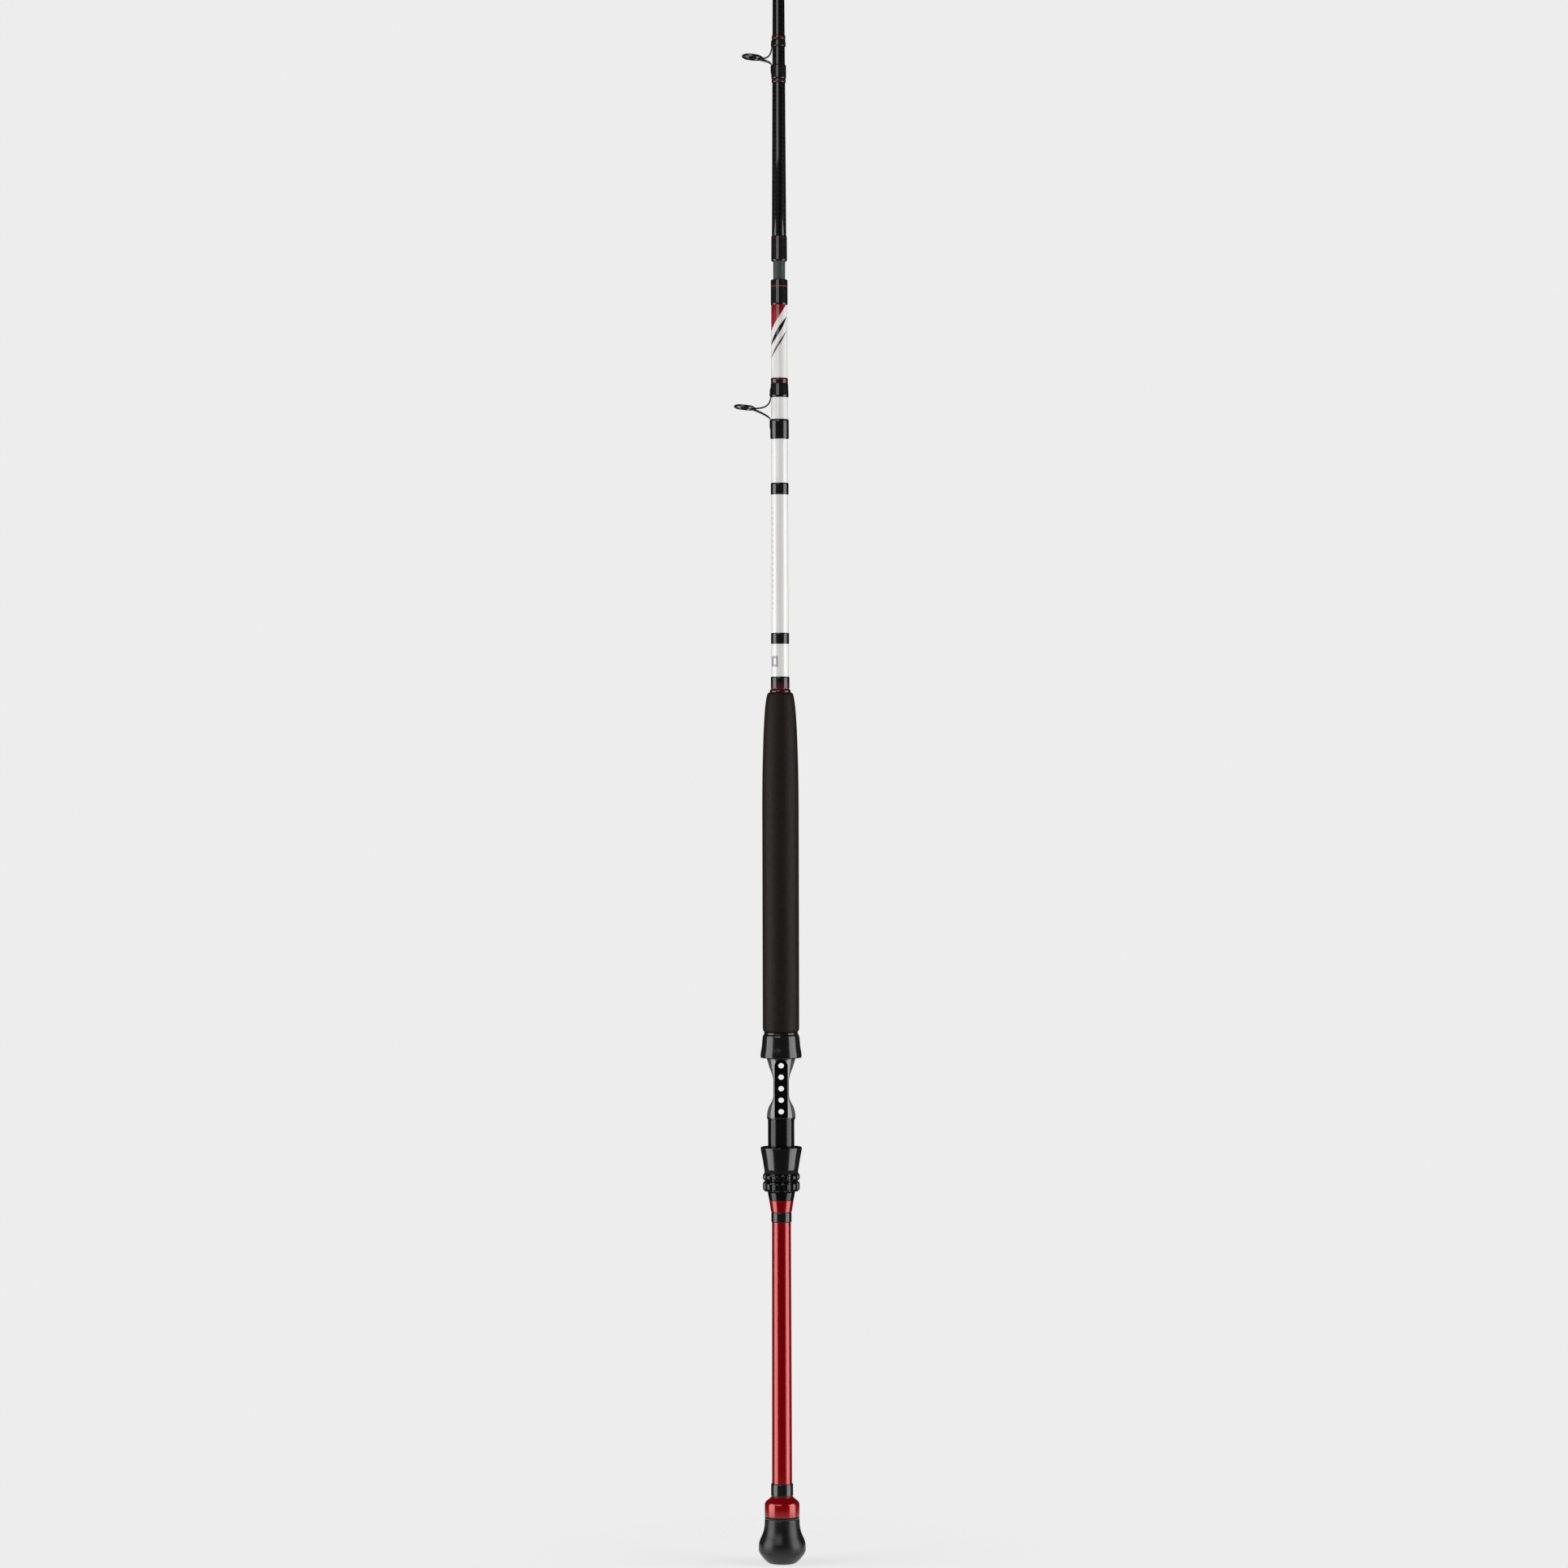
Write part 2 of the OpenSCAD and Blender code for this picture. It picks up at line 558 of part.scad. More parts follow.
gimbal();
butt_tube();
butt_lower_wrap();
butt_top_wrap();
seat_tail_trim();
seat_tail_cone();
reel_seat_body();
seat_inlays();
fixed_hood();
fixed_hood_liner();
foregrip();
foregrip_check();
foregrip_wrap();
lower_blank();
decor_wrap_lower();
decor_wrap_upper();
ferrule_wrap();
ferrule_spigot();
guide_1_trim();
moving_hood();
moving_hood_liner();
nut_retaining_ring();
hood_nut();
lock_nut();
butt_cap();
tip_blank();
tip_base_wrap();
tip_guide_trims();
guide_frame(GUIDES[0]);  // guide_1_frame
guide_ring(GUIDES[0]);  // guide_1_ring
guide_wraps(GUIDES[0]);  // guide_1_wraps
guide_frame(GUIDES[1]);  // guide_2_frame
guide_ring(GUIDES[1]);  // guide_2_ring
guide_wraps(GUIDES[1]);  // guide_2_wraps
guide_frame(GUIDES[2]);  // guide_3_frame
guide_ring(GUIDES[2]);  // guide_3_ring
guide_wraps(GUIDES[2]);  // guide_3_wraps
guide_frame(GUIDES[3]);  // guide_4_frame
guide_ring(GUIDES[3]);  // guide_4_ring
guide_wraps(GUIDES[3]);  // guide_4_wraps
guide_frame(GUIDES[4]);  // guide_5_frame
guide_ring(GUIDES[4]);  // guide_5_ring
guide_wraps(GUIDES[4]);  // guide_5_wraps
guide_frame(GUIDES[5]);  // guide_6_frame
guide_ring(GUIDES[5]);  // guide_6_ring
guide_wraps(GUIDES[5]);  // guide_6_wraps
tip_top_sleeve();
tip_top_frame();
tip_top_ring();
tip_top_wrap();
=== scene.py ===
"""Looks for the two-piece boat rod: smooth turned pieces, guides, wraps and materials on the CAD frame.

Profiles are in millimetres and turn round the rod's axis, Z. Objects are in metres.
"""

import math

import bmesh
import bpy
from mathutils import Matrix, Vector


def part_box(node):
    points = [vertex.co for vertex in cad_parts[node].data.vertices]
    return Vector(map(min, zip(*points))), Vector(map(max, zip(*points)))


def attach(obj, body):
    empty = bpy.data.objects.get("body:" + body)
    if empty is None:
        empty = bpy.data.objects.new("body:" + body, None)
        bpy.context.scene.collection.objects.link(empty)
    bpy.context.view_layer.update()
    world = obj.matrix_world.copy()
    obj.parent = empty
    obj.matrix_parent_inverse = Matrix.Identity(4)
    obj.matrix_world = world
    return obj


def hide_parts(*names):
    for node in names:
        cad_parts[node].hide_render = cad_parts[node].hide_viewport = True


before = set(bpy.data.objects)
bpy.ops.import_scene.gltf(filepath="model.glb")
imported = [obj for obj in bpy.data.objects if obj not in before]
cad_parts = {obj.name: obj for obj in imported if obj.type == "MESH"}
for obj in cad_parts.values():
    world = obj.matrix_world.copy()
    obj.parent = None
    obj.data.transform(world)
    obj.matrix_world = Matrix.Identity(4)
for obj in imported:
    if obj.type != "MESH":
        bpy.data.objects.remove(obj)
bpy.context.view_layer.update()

MM = 0.001
BUTT = "butt_section"
TIP = "tip_section"
HOOD = "moving_hood"
GUIDES = range(1, 7)

# A radius below ON_AXIS is a point on the rod's axis, and radii nearer to each other than SAME count as
# equal. GLUE is the gap between two glued pieces.
ON_AXIS = 1e-6
SAME = 0.05
GLUE = 0.05

# Facets round a turned piece, and the angle in degrees above which an edge stays sharp.
SEGMENTS = 96
FINE_SEGMENTS = 128
SEAT_SEGMENTS = 144
NUT_SEGMENTS = 192
RING_SEGMENTS = 72
SMALL_SEGMENTS = 48
HOLE_SEGMENTS = 32
SHARP = 40
CUT_SHARP = 32


# ---- Outlines of turned CAD nodes ----

# The normal of an end face has less than this share of lean away from the axis or towards it.
END_LEAN = 1e-3


def span(node):
    """Lowest and highest height of a CAD node, in millimetres."""
    low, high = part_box(node)
    return low.z / MM, high.z / MM


def outline(node, facing=1):
    """Outer (facing 1) or inner (facing -1) line of a turned CAD node, as [(radius, height), ...]."""
    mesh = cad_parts[node].data
    line = {}
    for face in mesh.polygons:
        outward = face.normal.x * face.center.x + face.normal.y * face.center.y
        if outward * facing <= END_LEAN * math.hypot(face.center.x, face.center.y):
            continue
        for index in face.vertices:
            x, y, z = mesh.vertices[index].co / MM
            height = round(z, 2)
            line[height] = max(line.get(height, 0), math.hypot(x, y))
    return simple([(radius, height) for height, radius in sorted(line.items())])


def simple(line, tolerance=0.02):
    """A line without the points that its neighbours already give."""
    if len(line) < 3:
        return line
    kept = [line[0]]
    for here, ahead in zip(line[1:], line[2:]):
        back = kept[-1]
        share = (here[1] - back[1]) / (ahead[1] - back[1])
        if abs(back[0] + (ahead[0] - back[0]) * share - here[0]) > tolerance:
            kept.append(here)
    return kept + [line[-1]]


def radius_at(line, height):
    """Radius of a line at a height."""
    for (r0, z0), (r1, z1) in zip(line, line[1:]):
        if height <= z1:
            return r0 + (r1 - r0) * (height - z0) / (z1 - z0)
    return line[-1][0]


def bands(node, gap=4):
    """The separate ranges of height that a CAD node's pieces take, in millimetres."""
    heights = sorted({round(v.co.z / MM, 3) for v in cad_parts[node].data.vertices})
    found = [[heights[0], heights[0]]]
    for height in heights:
        if height - found[-1][1] > gap:
            found.append([height, height])
        found[-1][1] = height
    return found


TUBE = outline("butt_tube")
LOWER_BLANK = outline("lower_blank")
TIP_BLANK = outline("tip_blank")


# ---- Lines and curves ----

# Corners opener than NO_CORNER aren't rounded, and no fillet takes more than this share of an edge.
NO_CORNER = math.radians(176)
EDGE_SHARE = 0.45


def rounded(loop, size=0.3, steps=4):
    """A closed loop of (radius, height) with its corners rounded."""
    smooth = []
    for i, corner in enumerate(loop):
        here = Vector(corner)
        back = Vector(loop[i - 1]) - here
        ahead = Vector(loop[(i + 1) % len(loop)]) - here
        if here.x < ON_AXIS or back.angle(ahead, 0) > NO_CORNER:
            smooth.append(tuple(here))
            continue
        start = here + back.normalized() * min(size, back.length * EDGE_SHARE)
        end = here + ahead.normalized() * min(size, ahead.length * EDGE_SHARE)
        for k in range(steps + 1):
            t = k / steps
            smooth.append(tuple(start * (1 - t) ** 2 + here * 2 * t * (1 - t) + end * t * t))
    return smooth


def spline(points, steps=5):
    """Points on a smooth curve through all the given points."""
    ends = [points[0]] + list(points) + [points[-1]]
    curve = []
    for i in range(len(points) - 1):
        a, b, c, d = (Vector(p) for p in ends[i:i + 4])
        for k in range(steps):
            t = k / steps
            curve.append(tuple(0.5 * (2 * b + (c - a) * t + (2 * a - 5 * b + 4 * c - d) * t * t
                                      + (3 * b - 3 * c + d - a) * t ** 3)))
    return curve + [tuple(points[-1])]


def bezier(a, b, c, d, steps=14):
    """Points on a cubic curve from a to d, steered by b and c."""
    a, b, c, d = (Vector(p) for p in (a, b, c, d))
    points = []
    for k in range(steps + 1):
        t = k / steps
        points.append(a * (1 - t) ** 3 + b * 3 * t * (1 - t) ** 2 + c * 3 * t * t * (1 - t) + d * t ** 3)
    return points


# ---- Meshes ----

def bridge(bm, a, b):
    """Faces between two rings of vertices, either of which may be a single point."""
    count = max(len(a), len(b))
    for i in range(count):
        j = (i + 1) % count
        corners = [a[i % len(a)], a[j % len(a)], b[j % len(b)], b[i % len(b)]]
        bm.faces.new(list(dict.fromkeys(corners)))


def turn(bm, loop, segments=SEGMENTS, ripple=None, place=Matrix()):
    """Turns a closed loop of (radius, height) round Z. ripple(angle, radius, height) adds to the radius."""
    rings = []
    for radius, height in loop:
        if radius < ON_AXIS:
            rings.append([bm.verts.new(place @ Vector((0, 0, height)) * MM)])
            continue
        ring = []
        for i in range(segments):
            angle = 2 * math.pi * i / segments
            r = radius + (ripple(angle, radius, height) if ripple else 0)
            point = Vector((r * math.cos(angle), r * math.sin(angle), height))
            ring.append(bm.verts.new(place @ point * MM))
        rings.append(ring)
    for a, b in zip(rings, rings[1:] + rings[:1]):
        if len(a) > 1 or len(b) > 1:
            bridge(bm, a, b)


def sweep(bm, path, sizes, sides=16):
    """An oval bar along a path that never runs along Y. sizes gives (half width along Y, half depth)."""
    rings = []
    for i, point in enumerate(path):
        along = (path[min(i + 1, len(path) - 1)] - path[max(i - 1, 0)]).normalized()
        out = Vector((0, 1, 0)).cross(along).normalized()
        across = along.cross(out)
        width, depth = sizes[i]
        ring = []
        for k in range(sides):
            angle = 2 * math.pi * k / sides
            offset = out * math.cos(angle) * depth + across * math.sin(angle) * width
            ring.append(bm.verts.new((point + offset) * MM))
        rings.append(ring)
    for a, b in zip(rings, rings[1:]):
        bridge(bm, a, b)
    bm.faces.new(rings[0])
    bm.faces.new(rings[-1])


def make(name, bm, node, body, material, sharp=SHARP):
    """Turns a bmesh into a piece that stands for a CAD node and rides on a body."""
    bmesh.ops.recalc_face_normals(bm, faces=bm.faces)
    mesh = bpy.data.meshes.new(name)
    bm.to_mesh(mesh)
    bm.free()
    mesh.materials.append(material)
    mesh.shade_smooth()
    mesh.set_sharp_from_angle(angle=math.radians(sharp))
    piece = bpy.data.objects.new(name, mesh)
    bpy.context.scene.collection.objects.link(piece)
    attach(piece, body)
    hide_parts(node)
    return piece


def turned(name, node, body, material, loop, segments=SEGMENTS, ripple=None):
    """A turned piece that stands for a CAD node."""
    bm = bmesh.new()
    turn(bm, loop, segments, ripple)
    return make(name, bm, node, body, material)


# A hollow that stops more than this short of an end leaves that end closed.
END_WALL = 1


def closed(outer, inner):
    """The closed loop of a turned solid with an outer line and, if it is hollow, an inner line."""
    bottom, top = outer[0][1], outer[-1][1]
    loop = list(outer)
    if not inner:
        return loop + [(0, top), (0, bottom)]
    if top - inner[-1][1] > END_WALL:
        loop.append((0, top))
        if inner[-1][0] > ON_AXIS:
            loop.append((0, inner[-1][1]))
    loop += reversed(inner)
    if inner[0][1] - bottom > END_WALL:
        loop += [(0, inner[0][1]), (0, bottom)]
    return loop


def relathe(name, node, body, material, fillet=0.3):
    """A turned CAD node made again with finer facets and rounded edges."""
    loop = closed(outline(node), outline(node, -1))
    turned(name, node, body, material, rounded(loop, fillet))


# ---- Thread wraps ----

# The rounded end of a coat: its height, the most of a band that it takes, and its least rise.
COAT_EDGE = 1.3
COAT_EDGE_SHARE = 0.3
COAT_EDGE_STEPS = 6
COAT_THINNEST = 0.08
# The ridge over a guide's foot. The underside of a wrap is nearer to the blank than UNDERSIDE.
FOOT_RIDGE = 0.6
FOOT_HALF = 1.9
RIDGE_FADE = 2
UNDERSIDE = 0.02
WRAP_RISE = 0.95
UPPER_WRAP_THIN = 0.5
TRIM_OVERLAP = 0.5


def coat_loop(bottom, top, blank, rise_low, rise_high, steps=8):
    """Loop of an epoxy-coated band of thread on a blank, its coat rounded down at both ends."""
    edge = min(COAT_EDGE, (top - bottom) * COAT_EDGE_SHARE)
    body = top - bottom - 2 * edge
    angles = [math.pi / 2 * k / COAT_EDGE_STEPS for k in range(COAT_EDGE_STEPS + 1)]
    end = [(edge * (1 - math.cos(a)), max(math.sin(a), COAT_THINNEST)) for a in angles]
    rows = [(bottom + along, share) for along, share in end]
    rows += [(bottom + edge + body * k / steps, 1) for k in range(1, steps)]
    rows += [(top - along, share) for along, share in reversed(end)]
    loop = []
    for height, share in rows:
        rise = rise_low + (rise_high - rise_low) * (height - bottom) / (top - bottom)
        loop.append((radius_at(blank, height) + rise * share, height))
    return loop + [(radius_at(blank, top), top), (radius_at(blank, bottom), bottom)]


def wrap(name, node, body, blank, material, overlap=0):
    """A plain wrap, or a row of them in one node. overlap runs their coats on over what is beside them."""
    rise = max(radius - radius_at(blank, height) for radius, height in outline(node))
    bm = bmesh.new()
    for bottom, top in bands(node):
        turn(bm, coat_loop(bottom - overlap, top + overlap, blank, rise, rise))
    make(name, bm, node, body, material)


def foot_ridge(bottom, top, foot_start, reach, blank):
    """The ripple of a wrap over a guide's foot, which fades beyond the end of the foot."""
    def ripple(angle, radius, height):
        if radius - radius_at(blank, height) < UNDERSIDE:
            return 0
        side = (angle - math.pi) * radius / FOOT_HALF
        covered = min(1, max(0, 1 - (abs(height - foot_start) - reach) / RIDGE_FADE))
        edge = min(1, max(0, min(height - bottom, top - height) / COAT_EDGE))
        return FOOT_RIDGE * math.exp(-side * side) * covered * edge ** 0.5
    return ripple


# ---- Butt end ----

# Corners of the groove under the cap's mouth: (depth, distance below the mouth).
CAP_GROOVE = ((0, 2.6), (0.3, 2.2), (0.3, 1.8), (0, 1.4))
CAP_SIDE_TOP = 3
CAP_LIP = 0.4
CAP_FOOT = (1, 0.15)


def butt_cap(material):
    """The flared rubber cap: its side is one smooth curve, with a shallow groove under its mouth."""
    outer = outline("butt_cap")
    mouth_r, mouth = outer[-1]
    base_r, base = outer[0]
    widest = max(radius for radius, height in outer)
    side = [(min(radius, widest), height) for radius, height in spline(outer[1:])
            if height < mouth - CAP_SIDE_TOP]
    lip = [(mouth_r - depth, mouth - below) for depth, below in CAP_GROOVE]
    lip += [(mouth_r, mouth - CAP_LIP), (mouth_r - CAP_LIP, mouth)]
    foot = [(base_r, base), (base_r + CAP_FOOT[0], base + CAP_FOOT[1])]
    loop = closed(foot + side + lip, outline("butt_cap", -1))
    turned("butt_cap_rubber", "butt_cap", "butt_cap", material, loop, FINE_SEGMENTS)


# ---- Gimbal ----

PIN_SLOT_WIDTH = 6.5
PIN_SLOT_DEPTH = 10
COLLAR_FILLET = 0.7


def gimbal(material):
    """The red butt fitting: a soft-edged collar over a shank with crossed slots for a holder's pin."""
    outer = outline("gimbal")
    shank_end, shank = outer[:2]
    collar = [p for p in outer if p[1] > span("butt_cap")[1]]
    bottom, top = span("gimbal")
    bore_r, bore_bottom = TUBE[0]
    loop = [(0, bottom), shank_end, shank, (shank[0], collar[0][1])] + collar
    loop += [(radius_at(TUBE, top) + GLUE, top), (bore_r + GLUE, bore_bottom - GLUE),
             (0, bore_bottom - GLUE)]
    body = bmesh.new()
    turn(body, rounded(loop, COLLAR_FILLET, 5), FINE_SEGMENTS)
    for angle in (0, math.pi / 2):
        slot = bmesh.new()
        size = Matrix.Diagonal((4 * shank[0], PIN_SLOT_WIDTH, 2 * PIN_SLOT_DEPTH, 1))
        place = Matrix.Translation((0, 0, bottom * MM)) @ Matrix.Rotation(angle, 4, "Z")
        bmesh.ops.create_cube(slot, size=MM, matrix=place @ size)
        body = cut(body, slot)
    make("gimbal_turned", body, "gimbal", BUTT, material, CUT_SHARP)


# ---- Reel seat ----

# The barrel. Its thread runs between two heights above its lower end, on rows nearer to its radius
# than BARREL_SKIN and further below its top than BARREL_PLAIN.
THREAD_PITCH = 2
THREAD_DEPTH = 0.55
THREAD_ENDS = (1, 41)
BARREL_BEVEL = 0.5
BARREL_ROWS_PER_MM = 4
BARREL_SKIN = 0.6
BARREL_PLAIN = 0.3
BARREL_EDGE = 0.4
KEY_HALF_ANGLE = math.radians(8.8)
KEY_DEPTH = 1.2

# The waist: half its width across the rails, half its depth, and how far its middle lies below halfway.
WAIST_HALF = 6.9
WAIST_DEPTH = 9.8
WAIST_DROP = 1.5
# How its sides flare to the shoulders: two shares of the way up to which they are held straight, then
# for each end how far inside the shoulder and at what share of the way the curve is steered.
WAIST_HOLD = (0.22, 0.57)
LOW_FLARE = (0.6, 0.68)
HIGH_FLARE = (1.8, 0.78)
FLARE_STEPS = 24
SQUARENESS = 20
SQUARE_CORNER = 1.12
SHOULDER_BAND = 1.2
SHOULDER_EDGE = 0.1
# The shoulder lies less than this far above the inlays' lower end.
SHOULDER_REACH = 1

# The recesses, the web left between them and the row of holes through it.
WEB_HALF = 2.2
RECESS_HALF = 5.9
RECESS_REACH = 14
HOLE_RADIUS = 2.5
HOLE_STEP = 10.2
HOLE_REACH = 20
HOLES = 5
HOLES_DROP = 0.6

# The waist ends MOUTH_GAP below the fixed hood's mouth, and a cone inside the hood leads to the stem.
MOUTH_GAP = 1
CONE_STEP = 0.5
CONE_TOP = 4
STEM_BEVEL = 1
TUBE_END_GAP = 0.5


def barrel_cut(angle, above):
    """How deep the screw thread or the keyway cuts into the barrel, above its lower end."""
    phase = above / THREAD_PITCH - angle / (2 * math.pi)
    groove = 0.5 + 0.5 * math.cos(2 * math.pi * phase)
    start, end = THREAD_ENDS
    reach = min(1, max(0, above - start), max(0, end - above))
    in_keyway = min(angle, 2 * math.pi - angle) < KEY_HALF_ANGLE
    return max(THREAD_DEPTH * groove * reach, KEY_DEPTH if in_keyway else 0)


def barrel_rows(radius, bottom, top):
    """The barrel's side in rows close enough for its thread, with a bevel at its lower end."""
    straight = top - bottom - 2 * BARREL_BEVEL
    count = int(straight * BARREL_ROWS_PER_MM)
    rows = [(radius - BARREL_BEVEL, bottom)]
    rows += [(radius, bottom + BARREL_BEVEL + straight * k / count) for k in range(count + 1)]
    return rows + [(radius, top - BARREL_EDGE)]


def seat_waist(low, high, shoulder):
    """Rows (depth radius, half width, height) of the waist between its two shoulders."""
    middle = (low + high) / 2 - WAIST_DROP
    hold_start, hold_end = WAIST_HOLD
    rows = []
    for end, (drop, share) in ((low, LOW_FLARE), (high, HIGH_FLARE)):
        way = end - middle
        curves = []
        for narrow, wide in ((WAIST_DEPTH, shoulder), (WAIST_HALF, shoulder * SQUARE_CORNER)):
            curves.append(bezier((narrow, middle + way * hold_start, 0),
                                 (narrow, middle + way * hold_end, 0),
                                 (wide - drop, middle + way * share, 0), (wide, end, 0), FLARE_STEPS))
        part = [(deep.x, half.x, deep.y) for deep, half in zip(*curves)]
        rows += part[::-1] if end == low else part
    return rows


def seat_loop(barrel, shoulders, waist):
    """Loop of the seat: barrel, shoulders, waist, the stem in the grip, and the sockets at both ends."""
    bottom, top = span("reel_seat_body")
    shoulder_r, shoulder = shoulders[-1]
    mouth = span("fixed_hood")[0]
    stem_r = outline("fixed_hood", -1)[-1][0] - GLUE
    tube_bore, tube_top = radius_at(TUBE, bottom) + GLUE, span("butt_tube")[1] + TUBE_END_GAP
    blank_bore, blank_bottom = LOWER_BLANK[0][0] + GLUE, span("lower_blank")[0]
    loop = barrel + shoulders + [(shoulder_r, shoulder + SHOULDER_BAND - SHOULDER_EDGE)]
    loop += [(depth, height) for depth, half, height in waist]
    loop += [(shoulder_r - CONE_STEP, mouth + MOUTH_GAP), (stem_r, mouth + CONE_TOP)]
    loop += [(stem_r, top - STEM_BEVEL), (stem_r - STEM_BEVEL, top)]
    loop += [(blank_bore, top), (blank_bore, blank_bottom), (0, blank_bottom)]
    return loop + [(0, tube_top), (tube_bore, tube_top), (tube_bore, bottom)]


def pierced(body, low, high):
    """The seat with its two recesses and the holes through the web between them."""
    recess = bmesh.new()
    for side in (1, -1):
        slot_prism(recess, low, high, side)
    holes = bmesh.new()
    pin = [(0, -HOLE_REACH), (HOLE_RADIUS, -HOLE_REACH), (HOLE_RADIUS, HOLE_REACH), (0, HOLE_REACH)]
    for k in range(HOLES):
        height = (low + high) / 2 - HOLES_DROP + (k - (HOLES - 1) / 2) * HOLE_STEP
        across = Matrix.Translation((0, 0, height)) @ Matrix.Rotation(math.pi / 2, 4, "X")
        turn(holes, pin, HOLE_SEGMENTS, None, across)
    return cut(cut(body, recess), holes)


def reel_seat(material):
    """Seat body: screw barrel, waist with two rails and a pierced web, and the stem in the grip."""
    bottom = span("reel_seat_body")[0]
    inlay_bottom, inlay_top = span("seat_inlays")
    outer = [p for p in outline("reel_seat_body") if p[1] < inlay_bottom + SHOULDER_REACH]
    barrel_r, barrel_top = outer[1][0], outer[2][1]
    shoulder_r, shoulder = outer[-1]
    waist = seat_waist(shoulder + SHOULDER_BAND, span("fixed_hood")[0] - MOUTH_GAP, shoulder_r)
    half_width = {round(height, 3): half for depth, half, height in waist}

    def ripple(angle, radius, height):
        half = half_width.get(round(height, 3))
        if half:
            flat = (abs(math.cos(angle)) / half) ** SQUARENESS + (1 / radius) ** SQUARENESS
            return flat ** (-1 / SQUARENESS) - radius
        if radius > barrel_r - BARREL_SKIN and height < barrel_top - BARREL_PLAIN:
            return -barrel_cut(angle, height - bottom)
        return 0

    body = bmesh.new()
    barrel = barrel_rows(barrel_r, bottom, barrel_top)
    turn(body, seat_loop(barrel, outer[3:], waist), SEAT_SEGMENTS, ripple)
    body = pierced(body, inlay_bottom, inlay_top)
    make("reel_seat_moulded", body, "reel_seat_body", BUTT, material, CUT_SHARP)


def slot_prism(bm, low, high, side, steps=24):
    """A bar with a round upper end that cuts the recess in the front (side -1) or back of the seat."""
    crown = high - RECESS_HALF
    edge = [(-RECESS_HALF, low), (RECESS_HALF, low)]
    for k in range(steps + 1):
        angle = math.pi * k / steps
        edge.append((RECESS_HALF * math.cos(angle), crown + RECESS_HALF * math.sin(angle)))
    near = [bm.verts.new(Vector((x, side * WEB_HALF, z)) * MM) for x, z in edge]
    far = [bm.verts.new(Vector((x, side * RECESS_REACH, z)) * MM) for x, z in edge]
    bridge(bm, near, far)
    bm.faces.new(near)
    bm.faces.new(far)


def cut(bm, cutter):
    """One bmesh with another cut out of it."""
    objects = []
    for part in (bm, cutter):
        bmesh.ops.recalc_face_normals(part, faces=part.faces)
        mesh = bpy.data.meshes.new("cutting")
        part.to_mesh(mesh)
        part.free()
        objects.append(bpy.data.objects.new("cutting", mesh))
        bpy.context.scene.collection.objects.link(objects[-1])
    base, tool = objects
    boolean = base.modifiers.new("cut", "BOOLEAN")
    boolean.object = tool
    boolean.operation = "DIFFERENCE"
    boolean.solver = "EXACT"
    result = base.evaluated_get(bpy.context.evaluated_depsgraph_get()).to_mesh()
    left = bmesh.new()
    left.from_mesh(result)
    for part in objects:
        bpy.data.objects.remove(part)
    return left


HOOD_FILLET = 0.25


def hood(name, node, body, material):
    """A hood's metal shell, its flare one smooth curve and its rim rolled round."""
    outer = outline(node)
    rim_first = outer[0][0] > outer[-1][0]
    line = [outer[0]] + spline(outer[1:], 4) if rim_first else spline(outer[:-1], 4) + [outer[-1]]
    loop = closed(line, outline(node, -1))
    turned(name, node, body, material, rounded(loop, HOOD_FILLET, 3))


NUT_HOLLOWS = 12
HOLLOW_DEPTH = 1
HOLLOW_SHARE = 0.62
# How far inside the rim a hollow begins, and over how much more radius it gets its full depth.
HOLLOW_INSIDE = 1.6
HOLLOW_FADE = 1.2
NUT_FILLET = 0.5
NUT_ROWS = 6


def nut(name, node, material):
    """A nut with rounded rims and a ring of shallow finger hollows."""
    outer = outline(node)
    widest = max(radius for radius, height in outer)
    rims = [height for radius, height in outer if radius > widest - SAME]
    side = [(widest, rims[0] + (rims[-1] - rims[0]) * k / NUT_ROWS) for k in range(NUT_ROWS + 1)]
    below = [p for p in outer if p[1] < rims[0]]
    above = [p for p in outer if p[1] > rims[-1]]
    loop = rounded(closed(below + side + above, outline(node, -1)), NUT_FILLET, 3)

    def ripple(angle, radius, height):
        share = (angle / (2 * math.pi) * NUT_HOLLOWS + 0.5) % 1 - 0.5
        shape = max(0, 1 - (2 * share / HOLLOW_SHARE) ** 2)
        outside = min(1, max(0, (radius - widest + HOLLOW_INSIDE) / HOLLOW_FADE))
        return -HOLLOW_DEPTH * shape * outside

    turned(name, node, node, material, loop, NUT_SEGMENTS, ripple)


# ---- Grip and blanks ----

# How far below the taper's start the first two points of its smooth curve lie.
TAPER_LEAD = (30, 12)
GRIP_FILLET = 0.8


def foregrip(material):
    """The foam grip: straight, then one long soft taper to a rounded nose."""
    outer = outline("foregrip")
    straight = [p for p in outer if p[0] >= outer[3][0] - SAME]
    straight_r, start = straight[-1]
    taper = [(straight_r, start - below) for below in TAPER_LEAD]
    taper += [p for p in outer if p[1] > start]
    line = outer[:2] + [straight[0]] + spline(taper, 6)
    loop = rounded(closed(line, outline("foregrip", -1)), GRIP_FILLET)
    grip = turned("foregrip_foam", "foregrip", BUTT, material, loop, FINE_SEGMENTS)


# ---- Line guides ----

TILT = math.radians(6)
TOP_TILT = math.radians(22)

# Sizes that grow with a ring: (share of its radius, constant part).
BAND_HALF = (0.09, 0.35)
CERAMIC_THICK = (0.16, 0.37)
CERAMIC_HALF = (0.14, 0.82)
LEG_WIRE = (0.05, 0.25)
BAND_BEVEL = 0.25
BAND_FLAT = 0.45
CERAMIC_BEVEL = 0.2
CERAMIC_FLAT = 0.75
CERAMIC_LIP = 0.62
RING_FIT = 0.02

